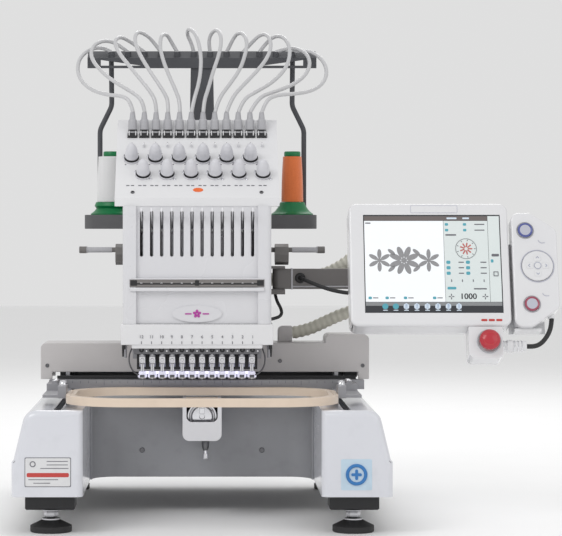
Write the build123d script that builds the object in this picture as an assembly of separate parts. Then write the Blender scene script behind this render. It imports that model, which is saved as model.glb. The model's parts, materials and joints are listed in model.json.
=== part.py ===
"""Single-head, twelve-needle embroidery machine, in millimetres.

The machine is laid out with X to the operator's right from the sewing axis, Y away from the operator
from the needle plane, and Z up from the floor. build() moves everything so that the origin is the
middle of the footprint at floor level.
"""

import os
from math import cos, hypot, pi, radians, sin, tan

from build123d import *

# ---------------------------------------------------------------- driving dimensions
RUN_GAP = 0.3          # between pieces that slide or turn past each other
BORE_GAP = 0.05        # radial clearance of a running shaft
WALL = 3.0             # moulded covers and boxes

# stand: two legs, a cross box between them and four levelling feet
LEG_INNER_X = 170.0
LEG_OUTER_X = 272.0
LEG_TOP_OUTER_X = 252.0
LEG_STEP = 3.0
LEG_STEP_Z = 104.0
LEG_BOTTOM_Z = 55.0
LEG_TOP_Z = 178.0
LEG_FRONT_Y = -200.0
STAND_REAR_Y = 440.0
LEG_EDGE_R = 20.0
SLOT_X = 207.0
SLOT_WIDTH = 10.0
SLOT_FRONT_Y = -188.0
SLOT_REAR_Y = 420.0
CROSS_FRONT_Y = 69.0
CROSS_TOP_Z = 172.0
CROSS_BOTTOM_Z = 60.0
CROSS_CORNER_R = 37.0
LEG_BEAM_WIDTH = 56.0
LEG_BEAM_TOP_Z = 110.0
RAIL_SIZE = 10.0
FOOT_X = 218.0
FOOT_Y = (-150.0, 390.0)
FOOT_DISC_R = 30.0
FOOT_DISC_HEIGHT = 9.0
FOOT_STUD_R = 6.0
NUT_FLATS = 30.0
NUT_Z = (20.0, 34.0)
FOOT_BLOCK = (71.0, 56.0)

# hook arm and its works
ARM_HALF_WIDTH = 29.0
ARM_BOTTOM_Z = 122.0
ARM_TOP_Z = 182.0
ARM_NOSE_Y = -62.0
WINDOW_SILL_Z = 150.0
PLATE_THICKNESS = 2.6
PLATE_Y = (-56.0, 46.0)
PLATE_HALF_WIDTH = 24.0
HOOK_AXIS_Z = 156.0
HOOK_R = 19.0
HOOK_Y = (-36.0, -1.5)
LOWER_SHAFT_R = 6.0
LOWER_PULLEY_R = 14.0

# head and column
HEAD_HALF_WIDTH = 85.0
HEAD_FRONT_Y = 30.0
HEAD_BOTTOM_Z = 290.0
HEAD_TOP_Z = 436.0
HEAD_EDGE_R = 12.0
COLUMN_FRONT_Y = 335.0
MAIN_SHAFT_Z = 400.0
MAIN_SHAFT_R = 8.0
PULLEY_Y = (408.0, 420.0)
BELT_THICKNESS = 2.0
MOTOR_R = 38.0
MOTOR_X = 32.5
MOTOR_Z = 246.0
HANDLE_Y = 60.0
HANDLE_Z = 404.0
HANDLE_REACH_X = 188.0
HANDLE_ROD_R = 3.75
HANDLE_PLATE_X = 122.0
HANDLE_PLATE_WIDTH = 21.0

# sewing field drive
BEAM_X = (-248.0, 257.0)
BEAM_Y = (70.0, 150.0)
BEAM_BOTTOM_Z = 216.0
BEAM_TOP_Z = 260.5
BEAM_CHEEK_Z = 205.0
MOTOR_BOX_X = 190.0
MOTOR_BOX_TOP_Z = 273.5
BAR_Y = (35.0, 60.0)
BAR_X = (-233.0, 247.0)
BAR_Z = (192.0, 206.0)
BAR_HOLE_R = 2.6
BAR_HOLE_SPACING = 360.0
HOOP_HALF_WIDTH = 198.0
HOOP_Y = (-215.0, 28.0)
HOOP_Z = (184.0, 196.0)
HOOP_CORNER_R = 90.0
HOOP_RING_WIDTH = 7.0

# needle case: it slides sideways to bring a needle over the plate
NEEDLES = 12
ACTIVE_NEEDLE = 6
NEEDLE_PITCH = 15.0
CASE_CENTRE_X = -7.5
CASE_HALF_WIDTH = 110.5
CASE_FRONT_Y = -55.0
CASE_BACK_Y = 25.0
CASE_BOTTOM_Z = 262.0
CASE_COVER_Z = 295.0
CASE_TOP_Z = 470.0
CASE_SIDE = 5.0
NEEDLE_BAR_R = 3.0
NEEDLE_R = 0.7
CLAMP_R = 4.5
NEEDLE_TIP_Z = 206.0
FOOT_SOLE_Z = 211.0
LEVER_SLOT_Z = (395.0, 463.0)
LEVER_SLOT_WIDTH = 5.0
LEVER_PIVOT = (-18.0, 436.0)
LEVER_TIP = (-68.0, 464.0)
LEVER_THICKNESS = 2.2
CASE_RAIL_Z = (310.0, 415.0)
CASE_RAIL_HEIGHT = 10.0
CASE_RAIL_FRONT_Y = 14.0

# tension box on the needle case
TENSION_HALF_WIDTH = 122.5
SLOPE_START = (-50.0, 482.0)
SLOPE_END = (83.0, 604.0)
THREAD_PITCH = 18.0
KNOB_ROWS = (0.49, 0.29)
KNOB_R = 10.0
KNOB_LENGTH = 30.0
KNOB_STUD_R = 2.0
CONNECTOR_Y = 62.0
CONNECTOR_TOP_Z = 615.0
CONNECTOR_R = 5.5

# thread stand
TRAY_X = (-184.0, 180.0)
TRAY_Y = (130.0, 300.0)
TRAY_RIM_Z = 458.0
POST_Y = (173.0, 185.0)
PIN_R = 3.0
PIN_TOP_Z = 540.0
PIN_X = (29.0, 86.0, 143.0)
PIN_Y = (175.0, 255.0)
CONE_BASE_R = 33.0
CONE_HEIGHT = 102.0
CONE_CUSHION = (30.0, 17.0)
CONE_THREAD_R = {"left": (23.0, 21.0), "right": (17.5, 15.0)}
TREE_HALF_WIDTH = 181.0
TREE_SHEET = 3.0
TREE_FRONT_Y = 170.0
TREE_FLANGE_Z = (690.0, 706.0)
TREE_BACK = (200.0, 719.0)
EYELET_PITCH = 26.0
EYELET_Y = 178.0
EYELET_TOP_Z = 716.0
TUBE_R = 3.0
STRUT_R = 4.0

# control panel, its arm and the hand controller
PANEL_TILT = 18.0
PANEL_CENTRE = (337.0, -60.0, 384.0)
PANEL_WIDTH = 237.0
PANEL_HEIGHT = 190.0
PANEL_DEPTH = 45.0
SCREEN_X = (-97.0, 107.0)
SCREEN_V = (-75.0, 77.0)
SCREEN_RECESS = 2.0
TILT_AXIS_V = -20.0
TILT_AXIS_W = -57.0
YOKE_X = (-27.0, -7.0)
YOKE_R = 9.0
YOKE_PIN_R = 4.0
SWING_X = 118.0
SWING_Y = 60.0
SWING_PIN_R = 5.0
PANEL_ARM_Z = (344.0, 375.0)
STOP_BOX_X = (54.5, 104.5)
STOP_BOX_V = (-143.0, -95.3)
STOP_BUTTON = (84.0, -118.0)
STOP_BUTTON_R = 15.0
STOP_TRAVEL = 4.0
PENDANT_X = (123.5, 191.0)
PENDANT_V = (-95.0, 81.0)
PENDANT_W = (-30.0, -2.0)
PENDANT_CORNER_R = 12.0
PENDANT_KEYS = {"start_button": (144.0, 53.0, 11.0), "stop_button": (149.5, -61.0, 11.0),
                "jog_pad": (160.0, -2.5, 23.0)}
KEY_TRAVEL = 1.6

# flexible lines: outside radius and route, each route's points chosen by hand
CONDUIT_R = 10.0
CONDUIT_ROUTE = [(140, 118, 274), (163, 118, 278), (189, 117, 290), (217, 115, 303), (250, 113, 313),
                 (285, 111, 324), (318, 109, 341), (339, 106, 370), (334, 103, 402), (305, 100, 422),
                 (269, 98, 417), (237, 97, 394), (205, 97, 371), (168, 98, 360), (130, 98, 357),
                 (91, 98, 358)]
CASE_CABLE_R = 2.5
CASE_CABLE_ROUTE = [(112, 56, 336), (114, 51, 326), (120, 43, 316), (122, 34, 307), (116, 26, 301),
                    (103, 20, 299)]
PANEL_CABLE_R = 3.0
PANEL_CABLE_ROUTE = [(150, 50, 361), (153, 37, 360), (169, 26, 353), (193, 17, 344), (219, 10, 339),
                     (241, 0, 339), (252, -12, 343), (254, -24.6, 345)]
PENDANT_CABLE_R = 3.5
PENDANT_CABLE_ROUTE = [(141, -120, -22), (152, -121, -22), (164, -116, -21), (174, -103, -20),
                       (179, -90, -19), (180, -79, -19)]
TUBE_ROUTES = [
    [(-143, 178, 716), (-157, 175, 724), (-177, 166, 720), (-193, 153, 705), (-196, 137, 683),
     (-187, 120, 664), (-169, 103, 650), (-146, 87, 643), (-124, 74, 641), (-110, 65, 633), (-106, 62, 615)],
    [(-117, 178, 716), (-134, 175, 730), (-155, 166, 734), (-171, 153, 725), (-175, 137, 708),
     (-165, 120, 690), (-147, 103, 672), (-125, 87, 657), (-105, 74, 645), (-91, 64, 633), (-88, 62, 615)],
    [(-91, 178, 716), (-103, 175, 725), (-117, 166, 734), (-130, 153, 739), (-138, 137, 729),
     (-129, 120, 709), (-113, 103, 689), (-96, 87, 668), (-80, 74, 648), (-71, 63, 632), (-70, 62, 615)],
    [(-65, 178, 716), (-74, 175, 729), (-87, 166, 742), (-101, 153, 747), (-106, 137, 735),
     (-101, 120, 715), (-87, 103, 690), (-71, 87, 666), (-57, 74, 644), (-52, 64, 631), (-52, 62, 615)],
    [(-39, 178, 716), (-47, 174, 729), (-55, 163, 743), (-64, 148, 741), (-66, 130, 722),
     (-61, 110, 699), (-51, 92, 673), (-40, 77, 648), (-34, 65, 631), (-34, 62, 615)],
    [(-13, 178, 716), (-16, 174, 729), (-24, 165, 743), (-21, 150, 752), (-10, 132, 742),
     (-3, 110, 717), (-1, 92, 690), (-5, 77, 659), (-13, 65, 633), (-16, 62, 615)],
    [(13, 178, 716), (10, 174, 732), (15, 164, 746), (25, 149, 750), (31, 131, 734),
     (27, 110, 708), (17, 92, 679), (9, 77, 650), (3, 65, 632), (2, 62, 615)],
    [(39, 178, 716), (46, 174, 730), (54, 163, 744), (65, 148, 744), (71, 130, 728),
     (67, 110, 705), (58, 92, 681), (42, 77, 658), (25, 65, 635), (20, 62, 615)],
    [(65, 178, 716), (78, 174, 730), (92, 163, 743), (104, 148, 741), (109, 130, 723),
     (102, 110, 702), (86, 92, 681), (66, 77, 660), (45, 66, 637), (38, 62, 615)],
    [(91, 178, 716), (101, 175, 730), (115, 166, 741), (129, 153, 738), (137, 137, 723),
     (137, 120, 702), (127, 103, 680), (107, 87, 661), (83, 74, 647), (63, 64, 635), (56, 62, 615)],
    [(117, 178, 716), (133, 174, 722), (152, 163, 720), (165, 148, 711), (170, 130, 693),
     (160, 110, 673), (139, 92, 658), (111, 77, 647), (86, 66, 638), (74, 62, 615)],
    [(143, 178, 716), (162, 174, 719), (180, 163, 712), (193, 148, 697), (196, 130, 677),
     (186, 110, 659), (166, 92, 648), (141, 77, 644), (116, 67, 642), (98, 62, 634), (92, 62, 615)],
]

# travels
BEAM_TRAVEL = 165.0
NEEDLE_STROKE = 34.0
FOOT_STROKE = 26.0

SIDES = (-1, 1)


def needle_x(number):
    """X of a needle at rest: number 1 is on the right and the active one is over the plate's hole."""
    return (ACTIVE_NEEDLE - number) * NEEDLE_PITCH


def thread_x(number):
    """X of a thread's tension knob and of its tube connector."""
    return CASE_CENTRE_X + ((NEEDLES + 1) / 2 - number) * THREAD_PITCH


PARKED = [n for n in range(1, NEEDLES + 1) if n != ACTIVE_NEEDLE]


# ---------------------------------------------------------------- shape helpers
def block(x, y, z):
    """A box from three (low, high) pairs."""
    size = [b - a for a, b in (x, y, z)]
    middle = [(a + b) / 2 for a, b in (x, y, z)]
    return Pos(*middle) * Box(*size)


def rod(start, end, radius):
    """A round bar between two points."""
    line = Vector(*end) - Vector(*start)
    return Solid.make_cylinder(radius, line.length, Plane(Vector(*start), z_dir=line))


def across(points, y):
    """A prism along Y from an outline of (x, z) points, between two y values."""
    face = Plane(origin=(0, y[1], 0), x_dir=(1, 0, 0), z_dir=(0, -1, 0)) * make_face(Polyline(*points, close=True))
    return extrude(face, y[1] - y[0])


def along(points, x):
    """A prism along X from an outline of (y, z) points, between two x values."""
    face = Plane(origin=(x[0], 0, 0), x_dir=(0, 1, 0), z_dir=(1, 0, 0)) * make_face(Polyline(*points, close=True))
    return extrude(face, x[1] - x[0])


def turned(profile):
    """A solid turned about Z from an outline of (radius, z) points."""
    return revolve(Plane.XZ * make_face(Polyline(*profile, close=True)), Axis.Z)


def line_of(name, points, radius):
    """A round flexible line: straight runs joined by arcs as large as the runs allow."""
    points = [Vector(*p) for p in points]
    arcs = []
    for before, here, after in zip(points, points[1:], points[2:]):
        turn = radians((here - before).get_angle(after - here))
        arcs.append(0.45 * min((here - before).length, (after - here).length) / tan(turn / 2))
    path = FilletPolyline(*points, radius=arcs)
    solid = sweep(Plane(origin=path @ 0, z_dir=path % 0) * Circle(radius), path=path)
    expected = pi * radius ** 2 * path.length
    print(f"{name}: length {path.length:.0f}, least arc {min(arcs):.0f}, volume ratio {solid.volume / expected:.4f}")
    return solid


def trimmed(line, *holders):
    """A flexible line cut back to the faces of the pieces that hold its ends."""
    for holder in holders:
        line = line - holder
    return line.solids().sort_by(SortBy.VOLUME)[-1]


def both_sides(right):
    """The same solid on the right and mirrored on the left."""
    return [mirror(right, Plane.YZ), right]


# ---------------------------------------------------------------- stand
def leg_outline(inset, bottom):
    """The right leg cover's outline in XZ, inset by a wall."""
    top = LEG_TOP_Z - inset
    return [(LEG_INNER_X + inset, bottom), (LEG_OUTER_X - inset, bottom),
            (LEG_OUTER_X - inset, LEG_STEP_Z), (LEG_OUTER_X - LEG_STEP - inset, LEG_STEP_Z + LEG_STEP),
            (LEG_TOP_OUTER_X - inset, top), (LEG_INNER_X + inset, top)]


def leg_cover():
    """A moulded cover, open below, with the slot that the beam's post runs in."""
    cover = across(leg_outline(0, LEG_BOTTOM_Z), (LEG_FRONT_Y, STAND_REAR_Y))
    top_outer = cover.edges().filter_by(Axis.Y).sort_by(lambda e: e.center().Z + e.center().X)[-2:]
    corner = [e for e in top_outer if abs(e.center().Z - LEG_TOP_Z) < 1]
    cover = fillet(corner, LEG_EDGE_R)
    front_top = cover.edges().filter_by(lambda e: abs(e.center().Y - LEG_FRONT_Y) < 0.1
                                        and e.center().Z > LEG_BOTTOM_Z + 1)
    cover = fillet(front_top, LEG_EDGE_R / 2)
    hollow = across(leg_outline(WALL, LEG_BOTTOM_Z - 1), (LEG_FRONT_Y + WALL, STAND_REAR_Y - WALL))
    corner = [e for e in hollow.edges().filter_by(Axis.Y)
              if abs(e.center().Z - LEG_TOP_Z + WALL) < 1 and e.center().X > SLOT_X]
    hollow = fillet(corner, LEG_EDGE_R - WALL)
    slot = block((SLOT_X - SLOT_WIDTH / 2, SLOT_X + SLOT_WIDTH / 2), (SLOT_FRONT_Y, SLOT_REAR_Y),
                 (LEG_TOP_Z - 2 * WALL, LEG_TOP_Z + 1))
    return cover - hollow - slot


def leg_beam():
    """The steel box tube inside a leg, with the rail that carries the beam's slider."""
    low, high = SLOT_X - LEG_BEAM_WIDTH / 2, SLOT_X + LEG_BEAM_WIDTH / 2
    y = (LEG_FRONT_Y + 2 * WALL, STAND_REAR_Y - 2 * WALL)
    tube = block((low, high), y, (LEG_BOTTOM_Z, LEG_BEAM_TOP_Z))
    tube -= block((low + WALL, high - WALL), (y[0] - 1, y[1] + 1),
                  (LEG_BOTTOM_Z + WALL, LEG_BEAM_TOP_Z - WALL))
    rail = block((SLOT_X - RAIL_SIZE / 2, SLOT_X + RAIL_SIZE / 2), y,
                 (LEG_BEAM_TOP_Z, LEG_BEAM_TOP_Z + RAIL_SIZE))
    tube += rail
    for foot_y in FOOT_Y:
        tube -= Pos(FOOT_X, foot_y, LEG_BOTTOM_Z) * Cylinder(FOOT_STUD_R + BORE_GAP, 4 * WALL)
    return tube


def foot_block(x, y):
    """The black block and lock nut that a foot's stud passes through."""
    pad = Pos(x, y, (NUT_Z[1] + LEG_BOTTOM_Z) / 2) * Box(*FOOT_BLOCK, LEG_BOTTOM_Z - NUT_Z[1])
    pad = chamfer(pad.edges().group_by(Axis.Z)[0], 2)
    nut = Pos(x, y, NUT_Z[0]) * extrude(RegularPolygon(NUT_FLATS / 2, 6, major_radius=False), NUT_Z[1] - NUT_Z[0])
    bore = Pos(x, y, NUT_Z[0]) * Cylinder(FOOT_STUD_R + BORE_GAP, 100)
    return [pad - bore, nut - bore]


def levelling_foot(x, y):
    """A rubber-faced disc on a stud."""
    disc = turned([(0, 0), (FOOT_DISC_R - 1, 0), (FOOT_DISC_R, 1), (FOOT_DISC_R, FOOT_DISC_HEIGHT),
                   (FOOT_STUD_R + 8, NUT_Z[0] - 3), (FOOT_STUD_R, NUT_Z[0] - 3),
                   (FOOT_STUD_R, LEG_BOTTOM_Z + 20), (0, LEG_BOTTOM_Z + 20)])
    return Pos(x, y, 0) * disc


def cross_panel():
    """The grey front panel between the legs, which curves forward into both of them."""
    front = CROSS_FRONT_Y - CROSS_CORNER_R - WALL
    plate = block((-LEG_INNER_X, LEG_INNER_X), (front, CROSS_FRONT_Y + WALL), (LEG_BOTTOM_Z, CROSS_TOP_Z))
    room = block((-LEG_INNER_X + WALL, LEG_INNER_X - WALL), (front - 80, CROSS_FRONT_Y),
                 (LEG_BOTTOM_Z - 1, CROSS_TOP_Z + 1))
    corners = room.edges().filter_by(Axis.Z).filter_by(lambda e: e.center().Y > front)
    plate -= fillet(corners, CROSS_CORNER_R)
    return plate - arm_notch()


def arm_notch():
    """Room for the hook arm where it passes through the stand."""
    return block((-ARM_HALF_WIDTH - RUN_GAP, ARM_HALF_WIDTH + RUN_GAP), (ARM_NOSE_Y, COLUMN_FRONT_Y + RUN_GAP),
                 (ARM_BOTTOM_Z, ARM_TOP_Z + 1))


def cross_box():
    """The box section that joins the legs and carries the column."""
    y = (CROSS_FRONT_Y + WALL, STAND_REAR_Y)
    box = block((-LEG_INNER_X, LEG_INNER_X), y, (CROSS_BOTTOM_Z, CROSS_TOP_Z))
    box -= block((-LEG_INNER_X + WALL, LEG_INNER_X - WALL), (y[0] + WALL, y[1] - WALL),
                 (CROSS_BOTTOM_Z - 1, CROSS_TOP_Z - WALL))
    return box - arm_notch() - belt_window(CROSS_TOP_Z)


def belt_window(z):
    """The opening that the belt passes through a horizontal wall by."""
    half = LOWER_PULLEY_R + 26
    return block((-half, half), (PULLEY_Y[0] - 8, PULLEY_Y[1] + 8), (z - 2 * WALL, z + 2 * WALL))


# ---------------------------------------------------------------- hook arm
def hook_arm():
    """The narrow hollow arm under the needles, with a window on the rotary hook."""
    half = ARM_HALF_WIDTH
    arm = block((-half, half), (ARM_NOSE_Y, COLUMN_FRONT_Y), (ARM_BOTTOM_Z, ARM_TOP_Z))
    low_edges = arm.edges().filter_by(Axis.Y).group_by(Axis.Z)[0]
    arm = fillet(low_edges, 10)
    arm -= block((-half + WALL, half - WALL), (ARM_NOSE_Y + WALL, COLUMN_FRONT_Y + 1),
                 (ARM_BOTTOM_Z + WALL, ARM_TOP_Z - WALL))
    window = block((-half + 6, half - 6), (ARM_NOSE_Y - 1, ARM_NOSE_Y + WALL + 1), (WINDOW_SILL_Z, ARM_TOP_Z - WALL))
    sill = window.edges().filter_by(Axis.Y).group_by(Axis.Z)[0]
    arm -= fillet(sill, 8)
    seat = block((-PLATE_HALF_WIDTH, PLATE_HALF_WIDTH), PLATE_Y, (ARM_TOP_Z - 2, ARM_TOP_Z + 1))
    well = block((-PLATE_HALF_WIDTH + 5, PLATE_HALF_WIDTH - 5), (PLATE_Y[0] + 5, PLATE_Y[1] - 5),
                 (ARM_TOP_Z - 2 * WALL, ARM_TOP_Z))
    return arm - seat - well


def needle_plate():
    """The bright plate with the needle's hole."""
    gap = RUN_GAP / 2
    plate = block((-PLATE_HALF_WIDTH + gap, PLATE_HALF_WIDTH - gap), (PLATE_Y[0] + gap, PLATE_Y[1] - gap),
                  (ARM_TOP_Z - 2, ARM_TOP_Z - 2 + PLATE_THICKNESS))
    plate -= Pos(0, 0, ARM_TOP_Z) * Cylinder(1.5, 20)
    for x in SIDES:
        plate -= Pos(x * 15, PLATE_Y[1] - 9, ARM_TOP_Z) * Cylinder(2, 20)
    return plate


def rotary_hook():
    """The rotary hook cup on the lower shaft, with the shaft's pulley."""
    y0, y1 = HOOK_Y
    hook = rod((0, y0, HOOK_AXIS_Z), (0, y1, HOOK_AXIS_Z), HOOK_R)
    hook -= rod((0, y0 - 1, HOOK_AXIS_Z), (0, y1 - 7, HOOK_AXIS_Z), HOOK_R - WALL)
    beak = block((6, HOOK_R + 1), (y0 - 1, y0 + 9), (HOOK_AXIS_Z + 8, HOOK_AXIS_Z + HOOK_R + 1))
    hook -= beak
    hook += rod((0, y1 - 3, HOOK_AXIS_Z), (0, PULLEY_Y[1] + 3, HOOK_AXIS_Z), LOWER_SHAFT_R)
    return hook + rod((0, PULLEY_Y[0], HOOK_AXIS_Z), (0, PULLEY_Y[1], HOOK_AXIS_Z), LOWER_PULLEY_R)


def bobbin_case():
    """The bobbin case that sits still inside the hook."""
    y0, y1 = HOOK_Y
    case = rod((0, y0 - 3, HOOK_AXIS_Z), (0, y1 - 7 - RUN_GAP, HOOK_AXIS_Z), HOOK_R - WALL - RUN_GAP)
    case = fillet(case.edges().group_by(Axis.Y)[0], 1.5)
    case -= rod((0, y0 - 4, HOOK_AXIS_Z), (0, y0 + 6, HOOK_AXIS_Z), 4)
    latch = block((-4, 4), (y0 - 6, y0 - 2.5), (HOOK_AXIS_Z + 5, HOOK_AXIS_Z + 13))
    return case + latch


def hook_arm_ring():
    """The chrome ring on a short stem under the arm's nose."""
    y = ARM_NOSE_Y + 22
    stem = rod((5, y, ARM_BOTTOM_Z), (5, y, ARM_BOTTOM_Z - 15), 3)
    ring = Pos(5, y, ARM_BOTTOM_Z - 20) * Rot(X=90) * Torus(6.5, 2.2)
    return stem + ring


# ---------------------------------------------------------------- head, column and main drive
def head_cover():
    """The casing of the upper arm, with the two rails that the needle case slides on."""
    half = HEAD_HALF_WIDTH
    y = (HEAD_FRONT_Y, STAND_REAR_Y)
    head = block((-half, half), y, (HEAD_BOTTOM_Z, HEAD_TOP_Z))
    head = fillet(head.edges().filter_by(Axis.Y).group_by(Axis.Z)[-1], HEAD_EDGE_R)
    hollow = block((-half + WALL, half - WALL), (y[0] + WALL, y[1] - WALL),
                   (HEAD_BOTTOM_Z + WALL, HEAD_TOP_Z - WALL))
    head -= fillet(hollow.edges().filter_by(Axis.Y).group_by(Axis.Z)[-1], HEAD_EDGE_R - WALL)
    head -= belt_window(HEAD_BOTTOM_Z)
    for z in CASE_RAIL_Z:
        head += block((-half, half), (CASE_RAIL_FRONT_Y, y[0]), (z, z + CASE_RAIL_HEIGHT))
    gland = rod((half, CONDUIT_ROUTE[-1][1], CONDUIT_ROUTE[-1][2]), CONDUIT_ROUTE[-1], CONDUIT_R + 2)
    return head + gland


def column_cover():
    """The casing of the column, open above and below."""
    half = HEAD_HALF_WIDTH
    column = block((-half, half), (COLUMN_FRONT_Y, STAND_REAR_Y), (CROSS_TOP_Z, HEAD_BOTTOM_Z))
    return column - block((-half + WALL, half - WALL), (COLUMN_FRONT_Y + WALL, STAND_REAR_Y - WALL),
                          (CROSS_TOP_Z - 1, HEAD_BOTTOM_Z + 1))


def bearing_blocks():
    """Two bearing blocks in the hook arm and two bearing plates in the head."""
    inner = ARM_HALF_WIDTH - WALL
    blocks = []
    for y in (70, 300):
        piece = block((-inner, inner), (y, y + 15), (ARM_BOTTOM_Z + WALL, ARM_TOP_Z - WALL))
        blocks.append(piece - rod((0, y - 1, HOOK_AXIS_Z), (0, y + 16, HOOK_AXIS_Z), LOWER_SHAFT_R + BORE_GAP))
    inner = HEAD_HALF_WIDTH - WALL
    for y in (60, 380):
        piece = block((-inner, inner), (y, y + 12), (HEAD_BOTTOM_Z + WALL, HEAD_TOP_Z - WALL - HEAD_EDGE_R))
        blocks.append(piece - rod((0, y - 1, MAIN_SHAFT_Z), (0, y + 13, MAIN_SHAFT_Z), MAIN_SHAFT_R + BORE_GAP))
    return blocks


def main_shaft():
    """The upper shaft with its front crank disc and rear pulley."""
    shaft = rod((0, 45, MAIN_SHAFT_Z), (0, PULLEY_Y[1] + 4, MAIN_SHAFT_Z), MAIN_SHAFT_R)
    shaft += rod((0, 36, MAIN_SHAFT_Z), (0, 46, MAIN_SHAFT_Z), 22)
    shaft -= rod((12, 35, MAIN_SHAFT_Z), (12, 47, MAIN_SHAFT_Z), 3)
    return shaft + rod((0, PULLEY_Y[0], MAIN_SHAFT_Z), (0, PULLEY_Y[1], MAIN_SHAFT_Z), 2 * LOWER_PULLEY_R)


def belt_loop(upper, lower, y):
    """The solid outline of a belt round two pulleys, given their radii."""
    span = MAIN_SHAFT_Z - HOOK_AXIS_Z
    lean = (upper - lower) / span
    side = (1 - lean ** 2) ** 0.5
    flanks = [(side * upper, MAIN_SHAFT_Z + lean * upper), (side * lower, HOOK_AXIS_Z + lean * lower)]
    flanks += [(-x, z) for x, z in reversed(flanks)]
    loop = across(flanks, y)
    loop += rod((0, y[0], MAIN_SHAFT_Z), (0, y[1], MAIN_SHAFT_Z), upper)
    return loop + rod((0, y[0], HOOK_AXIS_Z), (0, y[1], HOOK_AXIS_Z), lower)


def drive_belt():
    """The toothed belt that turns the lower shaft twice for each turn of the upper."""
    inner = (2 * LOWER_PULLEY_R + RUN_GAP, LOWER_PULLEY_R + RUN_GAP)
    outer = [r + BELT_THICKNESS for r in inner]
    return belt_loop(*outer, PULLEY_Y) - belt_loop(*inner, (PULLEY_Y[0] - 1, PULLEY_Y[1] + 1))


def main_motor():
    """The motor in the column, its flange on the column's side wall and its pulley on the belt."""
    motor = rod((MOTOR_X, COLUMN_FRONT_Y + 10, MOTOR_Z), (MOTOR_X, PULLEY_Y[0] - 10, MOTOR_Z), MOTOR_R)
    wall = HEAD_HALF_WIDTH - WALL
    motor += block((MOTOR_X - MOTOR_R, wall), (PULLEY_Y[0] - 10, PULLEY_Y[0] - 5),
                   (MOTOR_Z - MOTOR_R, MOTOR_Z + MOTOR_R))
    share = (MOTOR_Z - HOOK_AXIS_Z) / (MAIN_SHAFT_Z - HOOK_AXIS_Z)
    belt_x = LOWER_PULLEY_R * (1 + share) + BELT_THICKNESS + 2 * RUN_GAP
    return motor + rod((MOTOR_X, PULLEY_Y[0] - 6, MOTOR_Z), (MOTOR_X, PULLEY_Y[1], MOTOR_Z), MOTOR_X - belt_x)


def side_handle():
    """One side's lifting rod with its eight-sided plate, on the head's flank."""
    bar = rod((HEAD_HALF_WIDTH, HANDLE_Y, HANDLE_Z), (HANDLE_REACH_X, HANDLE_Y, HANDLE_Z), HANDLE_ROD_R)
    bar += rod((HANDLE_REACH_X - 11, HANDLE_Y, HANDLE_Z), (HANDLE_REACH_X, HANDLE_Y, HANDLE_Z), HANDLE_ROD_R + 1.6)
    plate = Plane(origin=(HANDLE_PLATE_X - HANDLE_PLATE_WIDTH / 2, HANDLE_Y, HANDLE_Z - 7), z_dir=(1, 0, 0))
    return bar + plate * extrude(RegularPolygon(15, 8, major_radius=False), HANDLE_PLATE_WIDTH)


def panel_bracket():
    """The bracket on the head's right flank, with the pin that the panel's arm swings on."""
    z0, z1 = PANEL_ARM_Z
    base = block((HEAD_HALF_WIDTH, SWING_X + 9), (SWING_Y - 15, SWING_Y + 15), (z0 - 8, z0 - RUN_GAP))
    top = block((HEAD_HALF_WIDTH, SWING_X + 9), (SWING_Y - 15, SWING_Y + 15), (z1 + RUN_GAP, z1 + 4))
    web = block((HEAD_HALF_WIDTH, HEAD_HALF_WIDTH + 12), (SWING_Y - 15, SWING_Y + 15), (z0 - 1, z1 + 1))
    return base + top + web + rod((SWING_X, SWING_Y, z0 - 4), (SWING_X, SWING_Y, z1 + 2), SWING_PIN_R)


# ---------------------------------------------------------------- thread stand
def spool_tray():
    """The shallow tray on the head that carries the cones."""
    tray = block(TRAY_X, TRAY_Y, (HEAD_TOP_Z, TRAY_RIM_Z))
    tray = fillet(tray.edges().filter_by(Axis.Z), 14)
    room = block((TRAY_X[0] + WALL, TRAY_X[1] - WALL), (TRAY_Y[0] + WALL, TRAY_Y[1] - WALL),
                 (HEAD_TOP_Z + WALL, TRAY_RIM_Z + 1))
    return tray - fillet(room.edges().filter_by(Axis.Z), 14 - WALL)


def pin_places():
    """Where the spool pins stand."""
    return [(side * x, y) for y in PIN_Y for x in PIN_X for side in SIDES]


def spool_pin(x, y):
    """A pin with a round foot and a rounded tip."""
    z = HEAD_TOP_Z + WALL
    pin = rod((x, y, z), (x, y, PIN_TOP_Z), PIN_R)
    pin = fillet(pin.edges().group_by(Axis.Z)[-1], 1.5)
    return pin


def thread_cone(side):
    """A cone on its foam cushion: flared core, wound thread and cap, with its pin's hole."""
    x, y = PIN_X[-1] * (-1 if side == "left" else 1), PIN_Y[0]
    foot = HEAD_TOP_Z + WALL + RUN_GAP
    cushion_r, z = CONE_CUSHION[0], foot + CONE_CUSHION[1]
    low, high = CONE_THREAD_R[side]
    hole = PIN_R + 1
    outline = [(hole, foot), (cushion_r, foot), (cushion_r, z), (CONE_BASE_R, z), (CONE_BASE_R, z + 4),
               (26, z + 9), (low + 2, z + 22), (low, z + 22), (high, z + CONE_HEIGHT - 7),
               (13, z + CONE_HEIGHT - 7), (13, z + CONE_HEIGHT), (hole, z + CONE_HEIGHT)]
    return Pos(x, y, 0) * turned(outline)


def tree_post():
    """The middle post of the thread tree."""
    foot = HEAD_TOP_Z + WALL
    return across([(-22.5, foot), (22.5, foot), (17.5, TREE_FLANGE_Z[1] - 3), (-17.5, TREE_FLANGE_Z[1] - 3)], POST_Y)


def tree_strut(side):
    """An outer rod of the thread tree, from the tray up to the plate."""
    points = [(163 * side, 217, HEAD_TOP_Z + WALL), (163 * side, 214, 594), (144 * side, 209, 632),
              (144 * side, 190, TREE_BACK[1] - 9)]
    path = FilletPolyline(*points, radius=25)
    strut = sweep(Plane(origin=path @ 0, z_dir=(0, 0, 1)) * Circle(STRUT_R), path=path)
    return strut - tree_plate() - block((-200, 200), (150, 260), (HEAD_TOP_Z - 20, HEAD_TOP_Z + WALL))


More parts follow.
